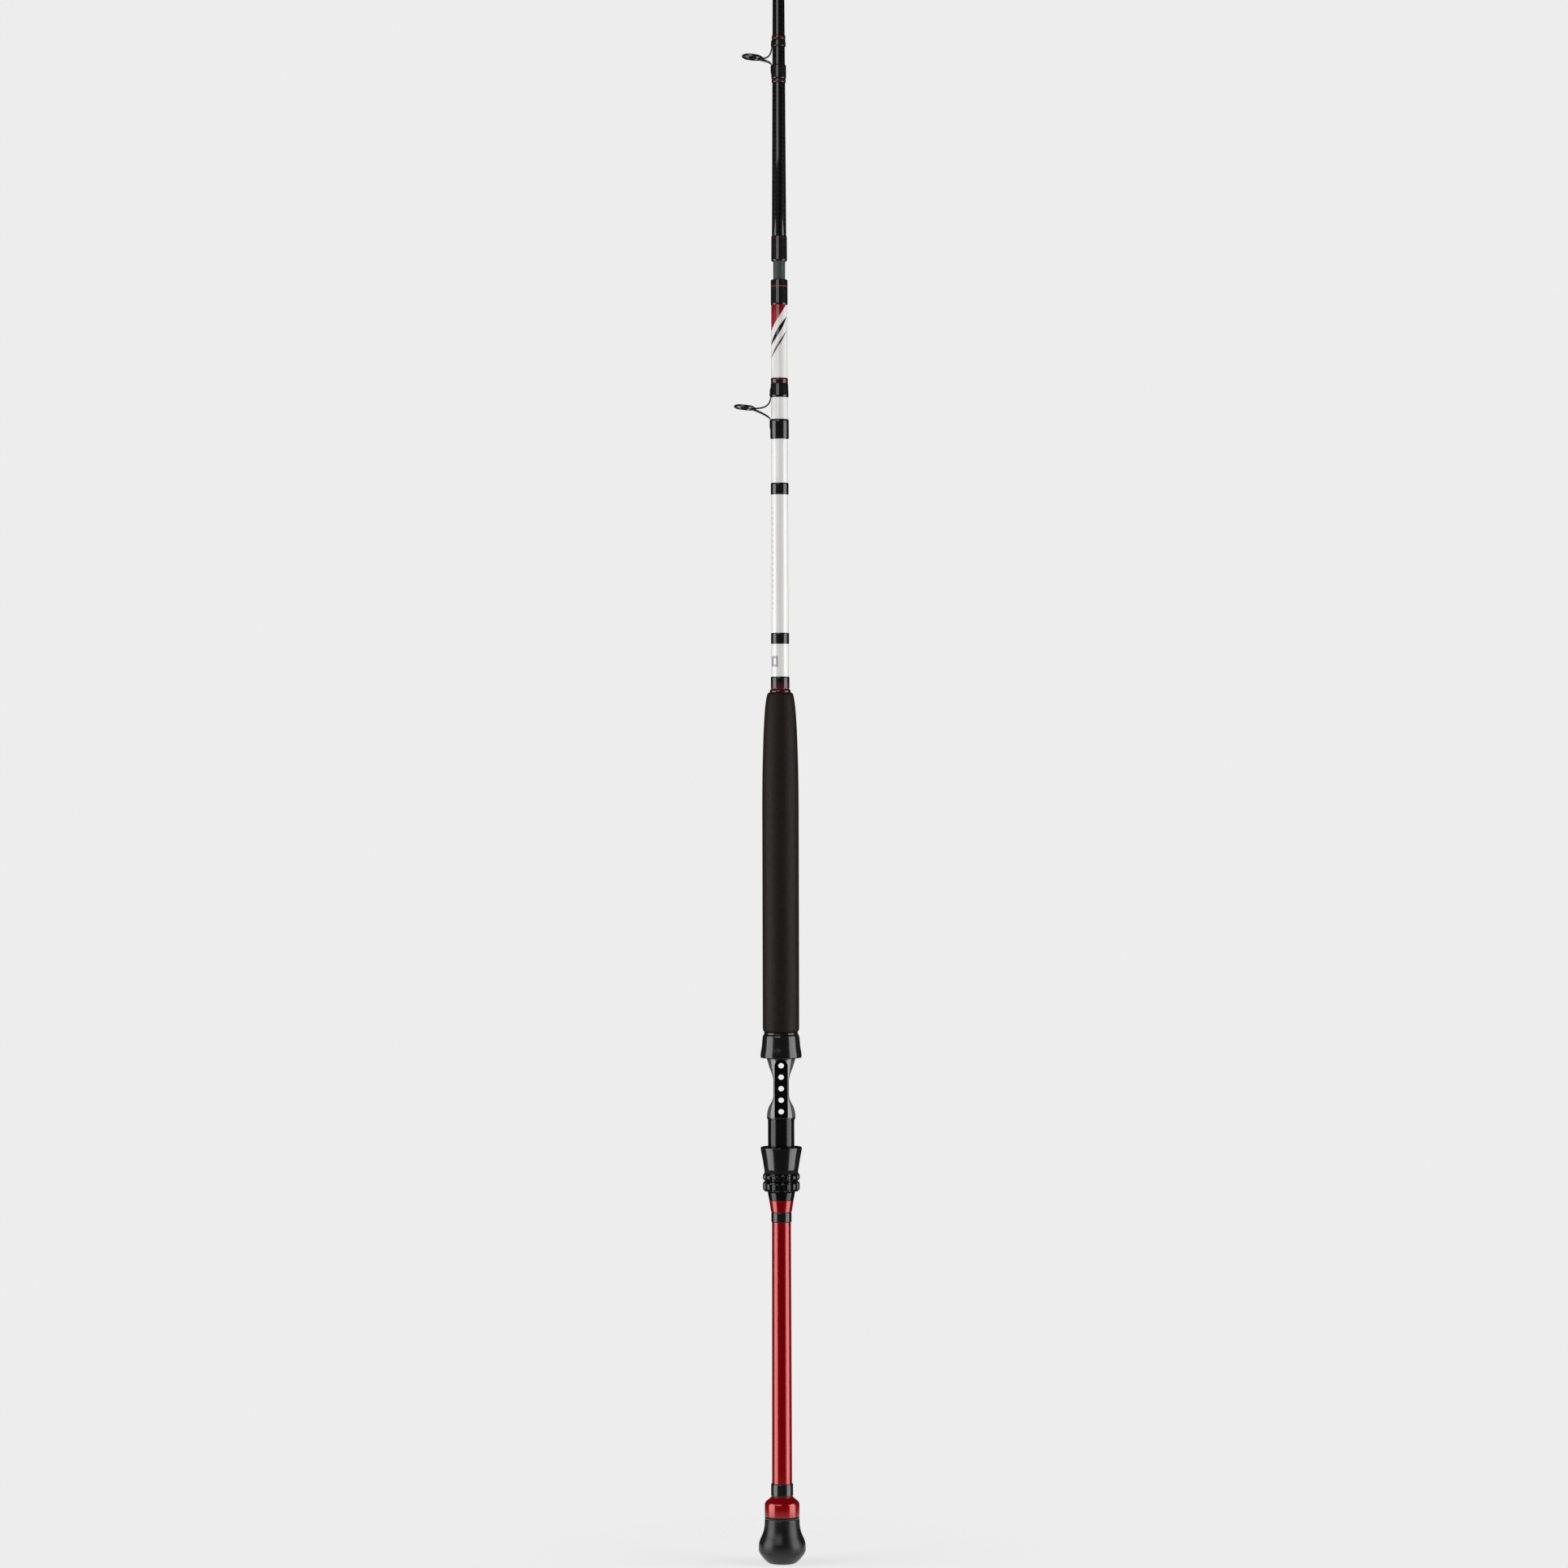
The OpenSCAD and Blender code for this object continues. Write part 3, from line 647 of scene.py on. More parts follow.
# A leg is round for its first part, then flattens into a foot. Rows along the foot: (share of its
# length, how deep it sinks towards the blank, share of its full thickness).
LEG_ROUND = 0.72
LEG_FLATTEN = 1.5
FOOT_ROWS = ((0.3, 0, 1), (0.6, 0.05, 0.9), (0.85, 0.15, 0.62), (1, 0.3, 0.3))
FOOT_HALF_WIDTH = 1.2
FOOT_HALF_DEPTH = 0.45
FOOT_GAP = 0.1
FOOT_REACH = 7
FOOT_COVER = 1

# The curves of the legs. A pull is a share of the run from ring to foot, a turn is where the curve
# bends into the foot: (out from it, sideways, along the rod from the wrap's edge).
LEG_IN_WRAP = 0.4
UPPER_PULL = 0.75
UPPER_DIP = 0.6
UPPER_TURN = (0.2, 0, 5.5)
LEG_SIDE = math.radians(50)
LOWER_DROP = 0.4
LOWER_PULL = 0.3
LOWER_SQUEEZE = 0.2
LOWER_DIP = 2.2
LOWER_TURN = (1.2, 0.9, 3.2)
LOWER_FOOT_SIDE = 0.35

# The tip-top's two legs, with heights above the lower end of its sleeve.
TOP_WIRE = 0.5
TOP_LEG_DROP = 0.3
TOP_LEG_PULL = (0.3, 0, -5)
TOP_LEG_BEND = (-3.4, 2.2, 15)
TOP_LEG_SINK = 0.1
TOP_LEG_END = (0.8, 8)
TOP_SLEEVE_WALL = 0.8
TOP_SLEEVE_FILLET = 0.4


def ring_place(node, tilt):
    """Where a guide's ring sits: (its centre, its placing matrix, its ceramic's outer radius)."""
    low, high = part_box(node)
    centre = (low + high) / 2 / MM
    place = Matrix.Translation(centre) @ Matrix.Rotation(tilt, 4, "Y")
    return centre, place, high.y / MM


def sized(rule, radius):
    """A size that grows with a ring, from its rule and the ring's radius."""
    share, constant = rule
    return share * radius + constant


def band_loop(outer_r, inner_r):
    """Loop of the metal band round a ring."""
    half = sized(BAND_HALF, outer_r)
    flat = half * BAND_FLAT
    return rounded([(inner_r, -half), (outer_r - BAND_BEVEL, -half), (outer_r, -flat),
                    (outer_r, flat), (outer_r - BAND_BEVEL, half), (inner_r, half)])


def ceramic_loop(outer_r, steps=12):
    """Loop of the polished ring, round where the line runs."""
    thick = sized(CERAMIC_THICK, outer_r)
    half = sized(CERAMIC_HALF, outer_r)
    flat = half * CERAMIC_FLAT
    loop = [(outer_r - CERAMIC_BEVEL, half), (outer_r, flat), (outer_r, -flat),
            (outer_r - CERAMIC_BEVEL, -half)]
    for k in range(steps + 1):
        angle = math.pi * (k / steps - 0.5)
        loop.append((outer_r - thick + thick * CERAMIC_LIP * (1 - math.cos(angle)), half * math.sin(angle)))
    return loop


def foot_x(blank, height):
    """Where the middle of a foot's thickness lies, on the blank's -X side."""
    return -radius_at(blank, height) - FOOT_HALF_DEPTH - FOOT_GAP


def foot_reach(bottom, top):
    """How far a foot reaches under its wrap."""
    return min(FOOT_REACH, top - bottom - FOOT_COVER)


def blade(bm, leg, blank, start, reach, wire):
    """A round leg that flattens into a foot with a thin end, from a height along the blank."""
    path = list(leg)
    sizes = []
    for i in range(len(leg)):
        flat = max(0, (i / (len(leg) - 1) - LEG_ROUND) / (1 - LEG_ROUND)) ** LEG_FLATTEN
        sizes.append((wire + (FOOT_HALF_WIDTH - wire) * flat, wire + (FOOT_HALF_DEPTH - wire) * flat))
    for share, sunk, thick in FOOT_ROWS:
        height = start + reach * share
        path.append(Vector((foot_x(blank, height) + sunk, 0, height)))
        sizes.append((FOOT_HALF_WIDTH * (1 + thick) / 2, FOOT_HALF_DEPTH * thick))
    sweep(bm, path, sizes)


def upper_leg(bm, centre, mid_r, blank, upper, wire):
    """The single leg from the ring's near side up to the foot under the upper wrap."""
    edge = upper[0]
    x = foot_x(blank, edge)
    start = centre + Vector((mid_r * math.cos(TILT), 0, -mid_r * math.sin(TILT)))
    pull = Vector(((x - start.x) * UPPER_PULL, 0, -UPPER_DIP))
    out, side, along = UPPER_TURN
    leg = bezier(start, start + pull, (x - out, side, edge - along), (x, 0, edge + LEG_IN_WRAP))
    blade(bm, leg, blank, edge, foot_reach(*upper), wire)


def lower_leg(bm, centre, mid_r, blank, lower, wire, side):
    """One of the two legs from the ring's sides (side 1 or -1) down to the foot under the lower wrap."""
    edge = lower[1]
    x = foot_x(blank, edge)
    near = mid_r * math.cos(LEG_SIDE)
    start = centre + Vector((near, side * mid_r * math.sin(LEG_SIDE), -near * math.sin(TILT) - LOWER_DROP))
    pull = Vector(((x - start.x) * LOWER_PULL, -side * mid_r * LOWER_SQUEEZE, -LOWER_DIP))
    out, across, along = LOWER_TURN
    leg = bezier(start, start + pull, (x - out, side * across, edge + along),
                 (x, side * LOWER_FOOT_SIDE, edge - LEG_IN_WRAP))
    blade(bm, leg, blank, edge, -foot_reach(*lower), wire)


def ring(name, node, place, outer_r, body, material):
    """The polished ceramic ring in a guide or the tip-top."""
    bm = bmesh.new()
    turn(bm, ceramic_loop(outer_r), RING_SEGMENTS, None, place)
    make(name, bm, node, body, material)


def guide(index, body, blank, metal, ceramic, thread):
    """One line guide: its band and three legs, its ring, and the two wraps over its feet."""
    node = f"guide_{index}_frame"
    centre, place, ceramic_r = ring_place(f"guide_{index}_ring", TILT)
    outer_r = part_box(node)[1].y / MM
    mid_r = (outer_r + ceramic_r) / 2
    wire = sized(LEG_WIRE, outer_r)
    lower, upper = bands(f"guide_{index}_wraps")

    frame_bm = bmesh.new()
    turn(frame_bm, band_loop(outer_r, ceramic_r + RING_FIT), RING_SEGMENTS, None, place)
    upper_leg(frame_bm, centre, mid_r, blank, upper, wire)
    for side in (1, -1):
        lower_leg(frame_bm, centre, mid_r, blank, lower, wire, side)
    make(f"guide_{index}_wire", frame_bm, node, body, metal)

    ring(f"guide_{index}_ceramic", f"guide_{index}_ring", place, ceramic_r, body, ceramic)

    wraps_bm = bmesh.new()
    for (bottom, top), toe, thin in ((lower, lower[1], 1), (upper, upper[0], UPPER_WRAP_THIN)):
        ridge = foot_ridge(bottom, top, toe, foot_reach(bottom, top), blank)
        turn(wraps_bm, coat_loop(bottom, top, blank, WRAP_RISE, WRAP_RISE * thin, 12), SEGMENTS, ridge)
    make(f"guide_{index}_thread", wraps_bm, f"guide_{index}_wraps", body, thread)


def tip_top(metal, ceramic):
    """The tip ring on its two legs and the sleeve over the end of the tip."""
    centre, place, ceramic_r = ring_place("tip_top_ring", TOP_TILT)
    outer_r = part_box("tip_top_frame")[1].y / MM
    mid_r = (outer_r + ceramic_r) / 2
    sleeve_low, sleeve_high = span("tip_top_sleeve")
    sleeve_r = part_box("tip_top_sleeve")[1].y / MM

    frame_bm = bmesh.new()
    turn(frame_bm, band_loop(outer_r, ceramic_r + RING_FIT), RING_SEGMENTS, None, place)
    for side in (1, -1):
        start = centre + Vector((0, side * mid_r, -TOP_LEG_DROP))
        bend_x, bend_y, bend_rise = TOP_LEG_BEND
        end_y, end_rise = TOP_LEG_END
        leg = bezier(start, start + Vector(TOP_LEG_PULL), (bend_x, side * bend_y, sleeve_low + bend_rise),
                     (-sleeve_r - TOP_WIRE + TOP_LEG_SINK, side * end_y, sleeve_low + end_rise))
        sweep(frame_bm, leg, [(TOP_WIRE, TOP_WIRE)] * len(leg))
    make("tip_top_wire", frame_bm, "tip_top_frame", TIP, metal)

    ring("tip_top_ceramic", "tip_top_ring", place, ceramic_r, TIP, ceramic)

    bore_r = radius_at(TIP_BLANK, sleeve_low) + GLUE
    bore_top = sleeve_high - TOP_SLEEVE_WALL
    loop = [(sleeve_r, sleeve_low), (sleeve_r, sleeve_high), (0, sleeve_high),
            (0, bore_top), (bore_r, bore_top), (bore_r, sleeve_low)]
    turned("tip_top_tube", "tip_top_sleeve", TIP, metal, rounded(loop, TOP_SLEEVE_FILLET), SMALL_SEGMENTS)


# ---- Materials ----

def srgb(red, green, blue):
    """A colour given as 8-bit sRGB values, in linear light."""
    parts = []
    for value in (red, green, blue):
        c = value / 255
        parts.append(c / 12.92 if c <= 0.04045 else ((c + 0.055) / 1.055) ** 2.4)
    return (*parts, 1)


class Graph:
    """The node graph of one material. Lengths in it are millimetres in the rod's own frame."""

    def __init__(self, name, **sockets):
        self.material = bpy.data.materials.new(name)
        self.material.use_nodes = True
        self.tree = self.material.node_tree
        self.shader = self.tree.nodes["Principled BSDF"]
        for socket, value in sockets.items():
            self.set(socket.replace("_", " ").title().replace("Ior", "IOR"), value)
        place = self.node("TexCoord").outputs["Object"]
        self.place = self.node("VectorMath", {0: place, "Scale": 1 / MM}, operation="SCALE").outputs[0]
        split = self.node("SeparateXYZ", {0: self.place})
        self.x, self.y, self.z = split.outputs

    def set(self, socket, value):
        """Sets a socket of the shader to a value, or links it."""
        self.feed(self.shader.inputs[socket], value)

    def feed(self, socket, value):
        if isinstance(value, bpy.types.NodeSocket):
            self.tree.links.new(value, socket)
        else:
            socket.default_value = value

    def node(self, kind, inputs=(), **settings):
        node = self.tree.nodes.new("ShaderNode" + kind)
        for key, value in settings.items():
            setattr(node, key, value)
        for key, value in dict(inputs).items():
            self.feed(node.inputs[key], value)
        return node

    def math(self, operation, a, b=0.0):
        return self.node("Math", {0: a, 1: b}, operation=operation).outputs[0]

    def times(self, product, *others):
        for other in others:
            product = self.math("MULTIPLY", product, other)
        return product

    def minus(self, a, b):
        return self.math("SUBTRACT", a, b)

    def noise(self, per_mm, detail=2.0, stretch=(1, 1, 1)):
        """Noise from 0 to 1 with so many grains in a millimetre."""
        place = self.node("VectorMath", {0: self.place, 1: stretch}, operation="MULTIPLY").outputs[0]
        return self.node("TexNoise", {"Vector": place, "Scale": per_mm, "Detail": detail}).outputs["Fac"]

    def between(self, value, low, high, out_low=0.0, out_high=1.0):
        """A smooth step of value from out_low at low to out_high at high."""
        inputs = {0: value, 1: low, 2: high, 3: out_low, 4: out_high}
        return self.node("MapRange", inputs, interpolation_type="SMOOTHSTEP").outputs[0]

    def near(self, value, centre, half, soft=0.3):
        """1 where value is within half of centre, fading to 0 over soft."""
        away = self.minus(self.math("ABSOLUTE", self.minus(value, centre)), half)
        return self.between(away, -soft / 2, soft / 2, 1.0, 0.0)

    def mix(self, share, a, b):
        return self.node("Mix", {0: share, 6: a, 7: b}, data_type="RGBA").outputs[2]

    def bump(self, height, depth, before=None):
        """Bump from a height of 0 to 1 that stands for a depth in millimetres."""
        inputs = {"Height": height, "Distance": depth * MM, "Strength": 1.0}
        if before:
            inputs["Normal"] = before
        return self.node("Bump", inputs).outputs[0]

    def finish(self, colour, bump, roughness=None):
        """Links the colour, the bump and, where it varies, the roughness, and gives the material."""
        self.set("Base Color", colour)
        self.set("Normal", bump)
        if roughness:
            self.set("Roughness", roughness)
        return self.material


def speckle(g, base, low, high, per_mm, detail=4.0):
    """Colour that wanders between low and high times the base colour."""
    dark = tuple(c * low for c in base[:3]) + (1,)
    light = tuple(c * high for c in base[:3]) + (1,)
    return g.mix(g.between(g.noise(per_mm, detail), 0.3, 0.7), dark, light)


CLEAR_COAT = {"specular_ior_level": 0.1, "coat_weight": 1.0, "coat_roughness": 0.03, "coat_ior": 1.55}


def red_metal():
    """Red anodised aluminium under a clear gloss coat."""
    g = Graph("red_metal", metallic=0.45, roughness=0.3, **CLEAR_COAT)
    brushed = g.between(g.noise(4, 3, (1, 1, 0.02)), 0.2, 0.8, 0.26, 0.36)
    return g.finish(speckle(g, srgb(150, 0, 8), 0.95, 1.04, 6), g.bump(g.noise(0.35, 3), 0.004), brushed)


def turn_share(g):
    """The angle round the rod as a share of a turn."""
    return g.math("DIVIDE", g.math("ARCTAN2", g.y, g.x), 2 * math.pi)


def thread_lines(g, pitch=0.3):
    """Height of the turns of thread round the rod, which climb one pitch a turn."""
    turns = g.minus(g.math("DIVIDE", g.z, pitch), turn_share(g))
    return g.math("ABSOLUTE", g.math("SINE", g.times(turns, math.pi)))


def thread(name, base, bands_of=(), blush=None):
    """Whipped thread under a thick clear coat, with painted shade darkening the grooves between its turns.
    bands_of lists (height, half height, colour) pinstripes.
    """
    g = Graph(name, roughness=0.45, **CLEAR_COAT)
    lines = thread_lines(g)
    # The grooves between turns are painted darker: painted shade in the creases of the thread.
    colour = g.mix(g.between(lines, 0.0, 0.6), tuple(c * 0.35 for c in base[:3]) + (1,), base)
    if blush:
        bottom, top, tint = blush
        colour = g.mix(g.between(g.z, bottom, top, 1.0, 0.0), colour, tint)
    for height, half, tint in bands_of:
        colour = g.mix(g.near(g.z, height, half, 0.25), colour, tint)
    g.set("Coat Normal", g.bump(g.noise(0.22, 2), 0.05))
    return g.finish(colour, g.bump(lines, 0.05))


GOLD_THREAD = srgb(150, 70, 40)
RED_THREAD = srgb(56, 9, 15)
BLACK_THREAD = srgb(16, 15, 16)

# Marks on the white blank. Slanting edges climb SLANT for each unit across, and more at the sides. The
# red end and the slashes are placed below the ferrule's wrap: (distance, half width, colour).
SLANT = 1.5
SLANT_BEND = 0.24
RED_END = 10.5
SLASHES = ((22.1, 3.1, srgb(26, 4, 6)), (34.1, 1.6, srgb(84, 44, 56)))
SLASH_MIDDLE = -0.12
SLASH_TAPER = 0.65
# The hollow mark and the row of dashes: (height above the grip's end, half height, x, half width).
MARK = (24.5, 4.8, -4.6, 2.7)
MARK_HOLE = (24.5, 2.6, -4.6, 1.0)
DASHES = (116, 45, -6.1, 0.55)
DASH_TURN = 1.25


def slanted(g, radius):
    """(x across the blank, bent up at its sides, and height with the slant of the marks taken out)."""
    x = g.math("DIVIDE", g.x, radius)
    cube = g.times(g.math("POWER", g.math("ABSOLUTE", x), 3.0), g.math("SIGN", x))
    across = g.math("ADD", x, g.times(cube, SLANT_BEND))
    return across, g.minus(g.z, g.times(across, SLANT * radius))


def slash(g, across, height, middle, half):
    """1 inside a slash, which is widest near the front and fades out at the sides."""
    end = g.math("POWER", g.math("ABSOLUTE", g.minus(across, SLASH_MIDDLE)), 2.0)
    width = g.times(g.minus(1.0, g.times(end, SLASH_TAPER)), half)
    away = g.math("ABSOLUTE", g.minus(height, middle))
    inside = g.between(g.minus(away, width), -0.25, 0.25, 1.0, 0.0)
    return g.times(inside, g.between(g.y, 0.2, -1.2))


def patch(g, area, foot, soft_z, soft_x):
    """1 inside a rectangle, given as (height above foot, half height, x, half width)."""
    rise, half_height, x, half_width = area
    return g.times(g.near(g.z, foot + rise, half_height, soft_z), g.near(g.x, x, half_width, soft_x))


def white_blank():
    """Gloss white paint with a red end, two slanting slashes and two plain pale marks."""
    g = Graph("white_blank", roughness=0.22, coat_weight=0.5, coat_roughness=0.03)
    top = span("ferrule_wrap")[0]
    across, height = slanted(g, radius_at(LOWER_BLANK, top))
    white = speckle(g, srgb(236, 235, 233), 0.985, 1.01, 0.5)
    streak = g.between(g.noise(0.5, 3, (1, 1, 0.06)), 0.45, 0.75, 0.0, 0.1)
    colour = g.mix(streak, white, srgb(180, 180, 180))
    for drop, half, tint in SLASHES:
        colour = g.mix(slash(g, across, height, top - drop, half), colour, tint)
    red = g.mix(g.between(g.z, top - 10, top - 2), srgb(150, 20, 34), srgb(120, 4, 18))
    colour = g.mix(g.between(height, top - RED_END, top - RED_END + 0.5), colour, red)

    grip_end = span("foregrip_check")[1]
    front = g.between(g.y, -1.0, -2.0)
    mark = g.minus(patch(g, MARK, grip_end, 0.6, 0.6), patch(g, MARK_HOLE, grip_end, 0.6, 0.6))
    colour = g.mix(g.times(mark, front, 0.75), colour, srgb(128, 118, 132))
    dashes = g.between(g.math("SINE", g.times(g.z, DASH_TURN)), -0.1, 0.1)
    row = g.times(patch(g, DASHES, grip_end, 0.5, 0.3), dashes, front, 0.45)
    return g.finish(g.mix(row, colour, srgb(150, 150, 152)), g.bump(g.noise(0.3, 2), 0.008))


SPIRAL_PITCH = 4.0


def black_blank():
    """Deep gloss black paint, with the faint spiral of the cloth under it."""
    g = Graph("black_blank", roughness=0.3, **CLEAR_COAT)
    turns = g.math("ADD", g.math("DIVIDE", g.z, SPIRAL_PITCH), turn_share(g))
    spiral = g.math("SINE", g.times(turns, 2 * math.pi))
    colour = g.mix(g.between(spiral, -1.0, 1.0), srgb(6, 6, 7), srgb(16, 16, 17))
    return g.finish(colour, g.bump(spiral, 0.006, g.bump(g.noise(0.3, 2), 0.01)))


def foam():
    """Closed-cell foam: a fine, matte grain of burst cells, with painted shade darkening the pits."""
    g = Graph("foam", roughness=0.5, specular_ior_level=0.17)
    cells = g.node("TexVoronoi", {"Vector": g.place, "Scale": 2.2}).outputs["Distance"]
    pits_and_painted_shade = g.between(cells, 0.05, 0.5)
    base = speckle(g, srgb(27, 19, 14), 0.8, 1.25, 0.35, 6.0)
    grain = g.math("ADD", pits_and_painted_shade, g.times(g.noise(1.1, 4), 0.8))
    # The pits are painted a darker brown: painted shade in the burst cells, over their bump.
    return g.finish(g.mix(pits_and_painted_shade, srgb(10, 8, 7), base), g.bump(grain, 0.09))


def rubber():
    """Moulded rubber, satin, with a fine pebble and scuffs where it stands on the ground."""
    g = Graph("cap_rubber", roughness=0.32, specular_ior_level=0.45)
    scuff = g.times(g.between(g.z, 2.0, 10.0, 1.0, 0.0), g.between(g.noise(0.8, 5), 0.5, 0.7), 0.6)
    base = speckle(g, srgb(12, 12, 12), 0.85, 1.15, 1.5)
    uneven = g.between(g.noise(2.0, 3), 0.3, 0.7, 0.27, 0.37)
    return g.finish(g.mix(scuff, base, srgb(60, 58, 56)), g.bump(g.noise(1.6, 3), 0.03), uneven)


def black_plastic(name="black_plastic", rails=None):
    """Glossy moulded nylon. rails gives the heights between which it is glossier, with a lighter grey painted
    in as a highlight.
    """
    g = Graph(name, roughness=0.14, specular_ior_level=0.38)
    base = speckle(g, srgb(14, 14, 14), 0.85, 1.15, 1.2)
    if rails:
        middle = (rails[0] + rails[1]) / 2
        # Between the rails' heights the colour is painted a lighter grey as a highlight, and the gloss is
        # really raised.
        gloss_and_painted_highlight = g.near(g.z, middle, middle - rails[0], 3.0)
        base = g.mix(gloss_and_painted_highlight, base, srgb(80, 80, 81))
        g.set("Specular IOR Level", g.between(gloss_and_painted_highlight, 0.0, 1.0, 0.38, 1.0))
    uneven = g.between(g.noise(1.5, 3), 0.3, 0.7, 0.1, 0.18)
    return g.finish(base, g.bump(g.noise(0.4, 3), 0.015), uneven)


def matte_black():
    """Soft-touch black with a fine moulded grain."""
    g = Graph("matte_black", roughness=0.75, specular_ior_level=0.2)
    return g.finish(speckle(g, srgb(8, 8, 9), 0.7, 1.3, 3), g.bump(g.noise(3.5, 2), 0.05))


def black_metal():
    """Black anodised aluminium, turned and polished."""
    g = Graph("black_metal", metallic=0.6, roughness=0.2, coat_weight=0.6, coat_roughness=0.05)
    lines = g.noise(3, 2, (0.05, 0.05, 1))
    uneven = g.between(lines, 0.3, 0.7, 0.16, 0.26)
    return g.finish(speckle(g, srgb(38, 38, 40), 0.85, 1.15, 2), g.bump(lines, 0.004), uneven)


def guide_metal():
    """Dark plated steel, with brighter metal where the line and hands wear it."""
    g = Graph("guide_metal", metallic=1.0, roughness=0.25)
    worn = g.between(g.noise(0.9, 4), 0.55, 0.75, 0.0, 0.35)
    uneven = g.between(g.noise(2.5, 3), 0.3, 0.7, 0.2, 0.34)
    return g.finish(g.mix(worn, srgb(92, 92, 96), srgb(150, 150, 154)), g.bump(g.noise(1.2, 3), 0.01), uneven)


def ring_ceramic():
    """Polished dark ceramic."""
    g = Graph("ring_ceramic", roughness=0.12, specular_ior_level=0.7)
    return g.finish(speckle(g, srgb(30, 31, 34), 0.85, 1.2, 2), g.bump(g.noise(1.5, 2), 0.004))


def spigot_grey():
    """Ground and waxed bare blank."""
    g = Graph("spigot_grey", roughness=0.5)
    rings = g.noise(2.5, 3, (0.05, 0.05, 1))
    colour = g.mix(g.between(rings, 0.3, 0.7), srgb(40, 50, 45), srgb(56, 68, 62))
    return g.finish(colour, g.bump(rings, 0.015), g.between(rings, 0.3, 0.7, 0.42, 0.6))


def red_plastic():
    """Glossy dark-red winding check."""
    g = Graph("red_plastic", roughness=0.2, coat_weight=0.6, coat_roughness=0.05)
    return g.finish(speckle(g, srgb(70, 8, 13), 0.85, 1.15, 1.5), g.bump(g.noise(0.6, 2), 0.01))


def spring_steel():
    """Plain drawn steel wire."""
    g = Graph("spring_steel", metallic=1.0, roughness=0.3)
    return g.finish(speckle(g, srgb(190, 190, 192), 0.9, 1.05, 2), g.bump(g.noise(3, 3), 0.006))


def wrap_thread(node):
    """The thread of one wrap node, with its pinstripes, or the blush of red over the grip's end."""
    bottom, top = span(node)
    stripes = {"ferrule_wrap": ((top - 6, 0.35, GOLD_THREAD),),
               "tip_base_wrap": ((top - 9, 0.5, RED_THREAD), (top - 2, 0.7, RED_THREAD))}
    blush = (bottom, top - 3, srgb(70, 26, 26)) if node == "foregrip_wrap" else None
    return thread(node, BLACK_THREAD, stripes.get(node, ()), blush)


# ---- The rod ----

def build_rod():
    """Makes every piece. Nodes whose own mesh is good enough only get their material."""
    red = red_metal()
    plastic = black_plastic()
    metal = guide_metal()
    ceramic = ring_ceramic()
    plain_thread = thread("black_wrap", BLACK_THREAD)
    trim_thread = thread("red_thread", RED_THREAD)
    hood_metal = black_metal()

    butt_cap(rubber())
    gimbal(red)
    relathe("butt_tube_lathed", "butt_tube", BUTT, red, fillet=0.1)
    wrap("butt_lower_thread", "butt_lower_wrap", BUTT, TUBE, plain_thread)
    wrap("butt_top_thread", "butt_top_wrap", BUTT, TUBE, plain_thread)
    relathe("seat_tail_collar", "seat_tail_trim", BUTT, red)
    relathe("seat_tail_boot", "seat_tail_cone", BUTT, plastic)
    reel_seat(black_plastic("seat_plastic", span("seat_inlays")))
    hood("fixed_hood_shell", "fixed_hood", BUTT, hood_metal)
    hood("moving_hood_shell", "moving_hood", HOOD, hood_metal)
    nut("hood_nut_moulded", "hood_nut", plastic)
    nut("lock_nut_moulded", "lock_nut", plastic)

    foregrip(foam())
    relathe("foregrip_check_ring", "foregrip_check", BUTT, red_plastic())
    relathe("lower_blank_painted", "lower_blank", BUTT, white_blank(), fillet=0.1)
    for node in ("foregrip_wrap", "decor_wrap_lower", "decor_wrap_upper", "ferrule_wrap"):
        wrap(node.replace("wrap", "thread"), node, BUTT, LOWER_BLANK, wrap_thread(node))
    wrap("guide_1_trim_thread", "guide_1_trim", BUTT, LOWER_BLANK, trim_thread, TRIM_OVERLAP)
    relathe("ferrule_spigot_ground", "ferrule_spigot", BUTT, spigot_grey(), fillet=0.6)

    relathe("tip_blank_painted", "tip_blank", TIP, black_blank(), fillet=0.1)
    wrap("tip_base_thread", "tip_base_wrap", TIP, TIP_BLANK, wrap_thread("tip_base_wrap"))
    wrap("tip_trim_threads", "tip_guide_trims", TIP, TIP_BLANK, trim_thread, TRIM_OVERLAP)
    wrap("tip_top_thread", "tip_top_wrap", TIP, TIP_BLANK, plain_thread)
    for index in GUIDES:
        body, blank = (BUTT, LOWER_BLANK) if index == 1 else (TIP, TIP_BLANK)
        guide(index, body, blank, metal, ceramic, plain_thread)
    tip_top(metal, ceramic)

    matte = matte_black()
    kept = {"seat_inlays": matte, "fixed_hood_liner": matte, "moving_hood_liner": matte,
            "nut_retaining_ring": spring_steel()}
    for node, material in kept.items():
        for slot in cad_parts[node].material_slots:
            slot.material = material


# ---- Stage ----

# Lengths of the stage are metres, but the floor's fade is in the materials' millimetres.
FLOOR_GREY = (0.3, 0.3, 0.3, 1)
FLOOR_GLOW = 0.65
FLOOR_RADIUS = 0.35
FLOOR_DROP = 0.0005
FLOOR_FADE = (60.0, 330.0)
BACKDROP = 0.847
AMBIENT = 0.02

# Two side boxes light the butt section. Fills above them light the tip and don't show in its gloss.
SIDE_AZIMUTH = math.radians(74)
SIDE_AWAY = 1.5
SIDE_BOTTOM = -0.65
SIDE_TOP = 1.22
SIDE_WIDTH = 1.24
SIDE_RADIANCE = 3.6
SIDE_FILL_HEIGHT = 1
SIDE_FILL_RADIANCE = 3.2

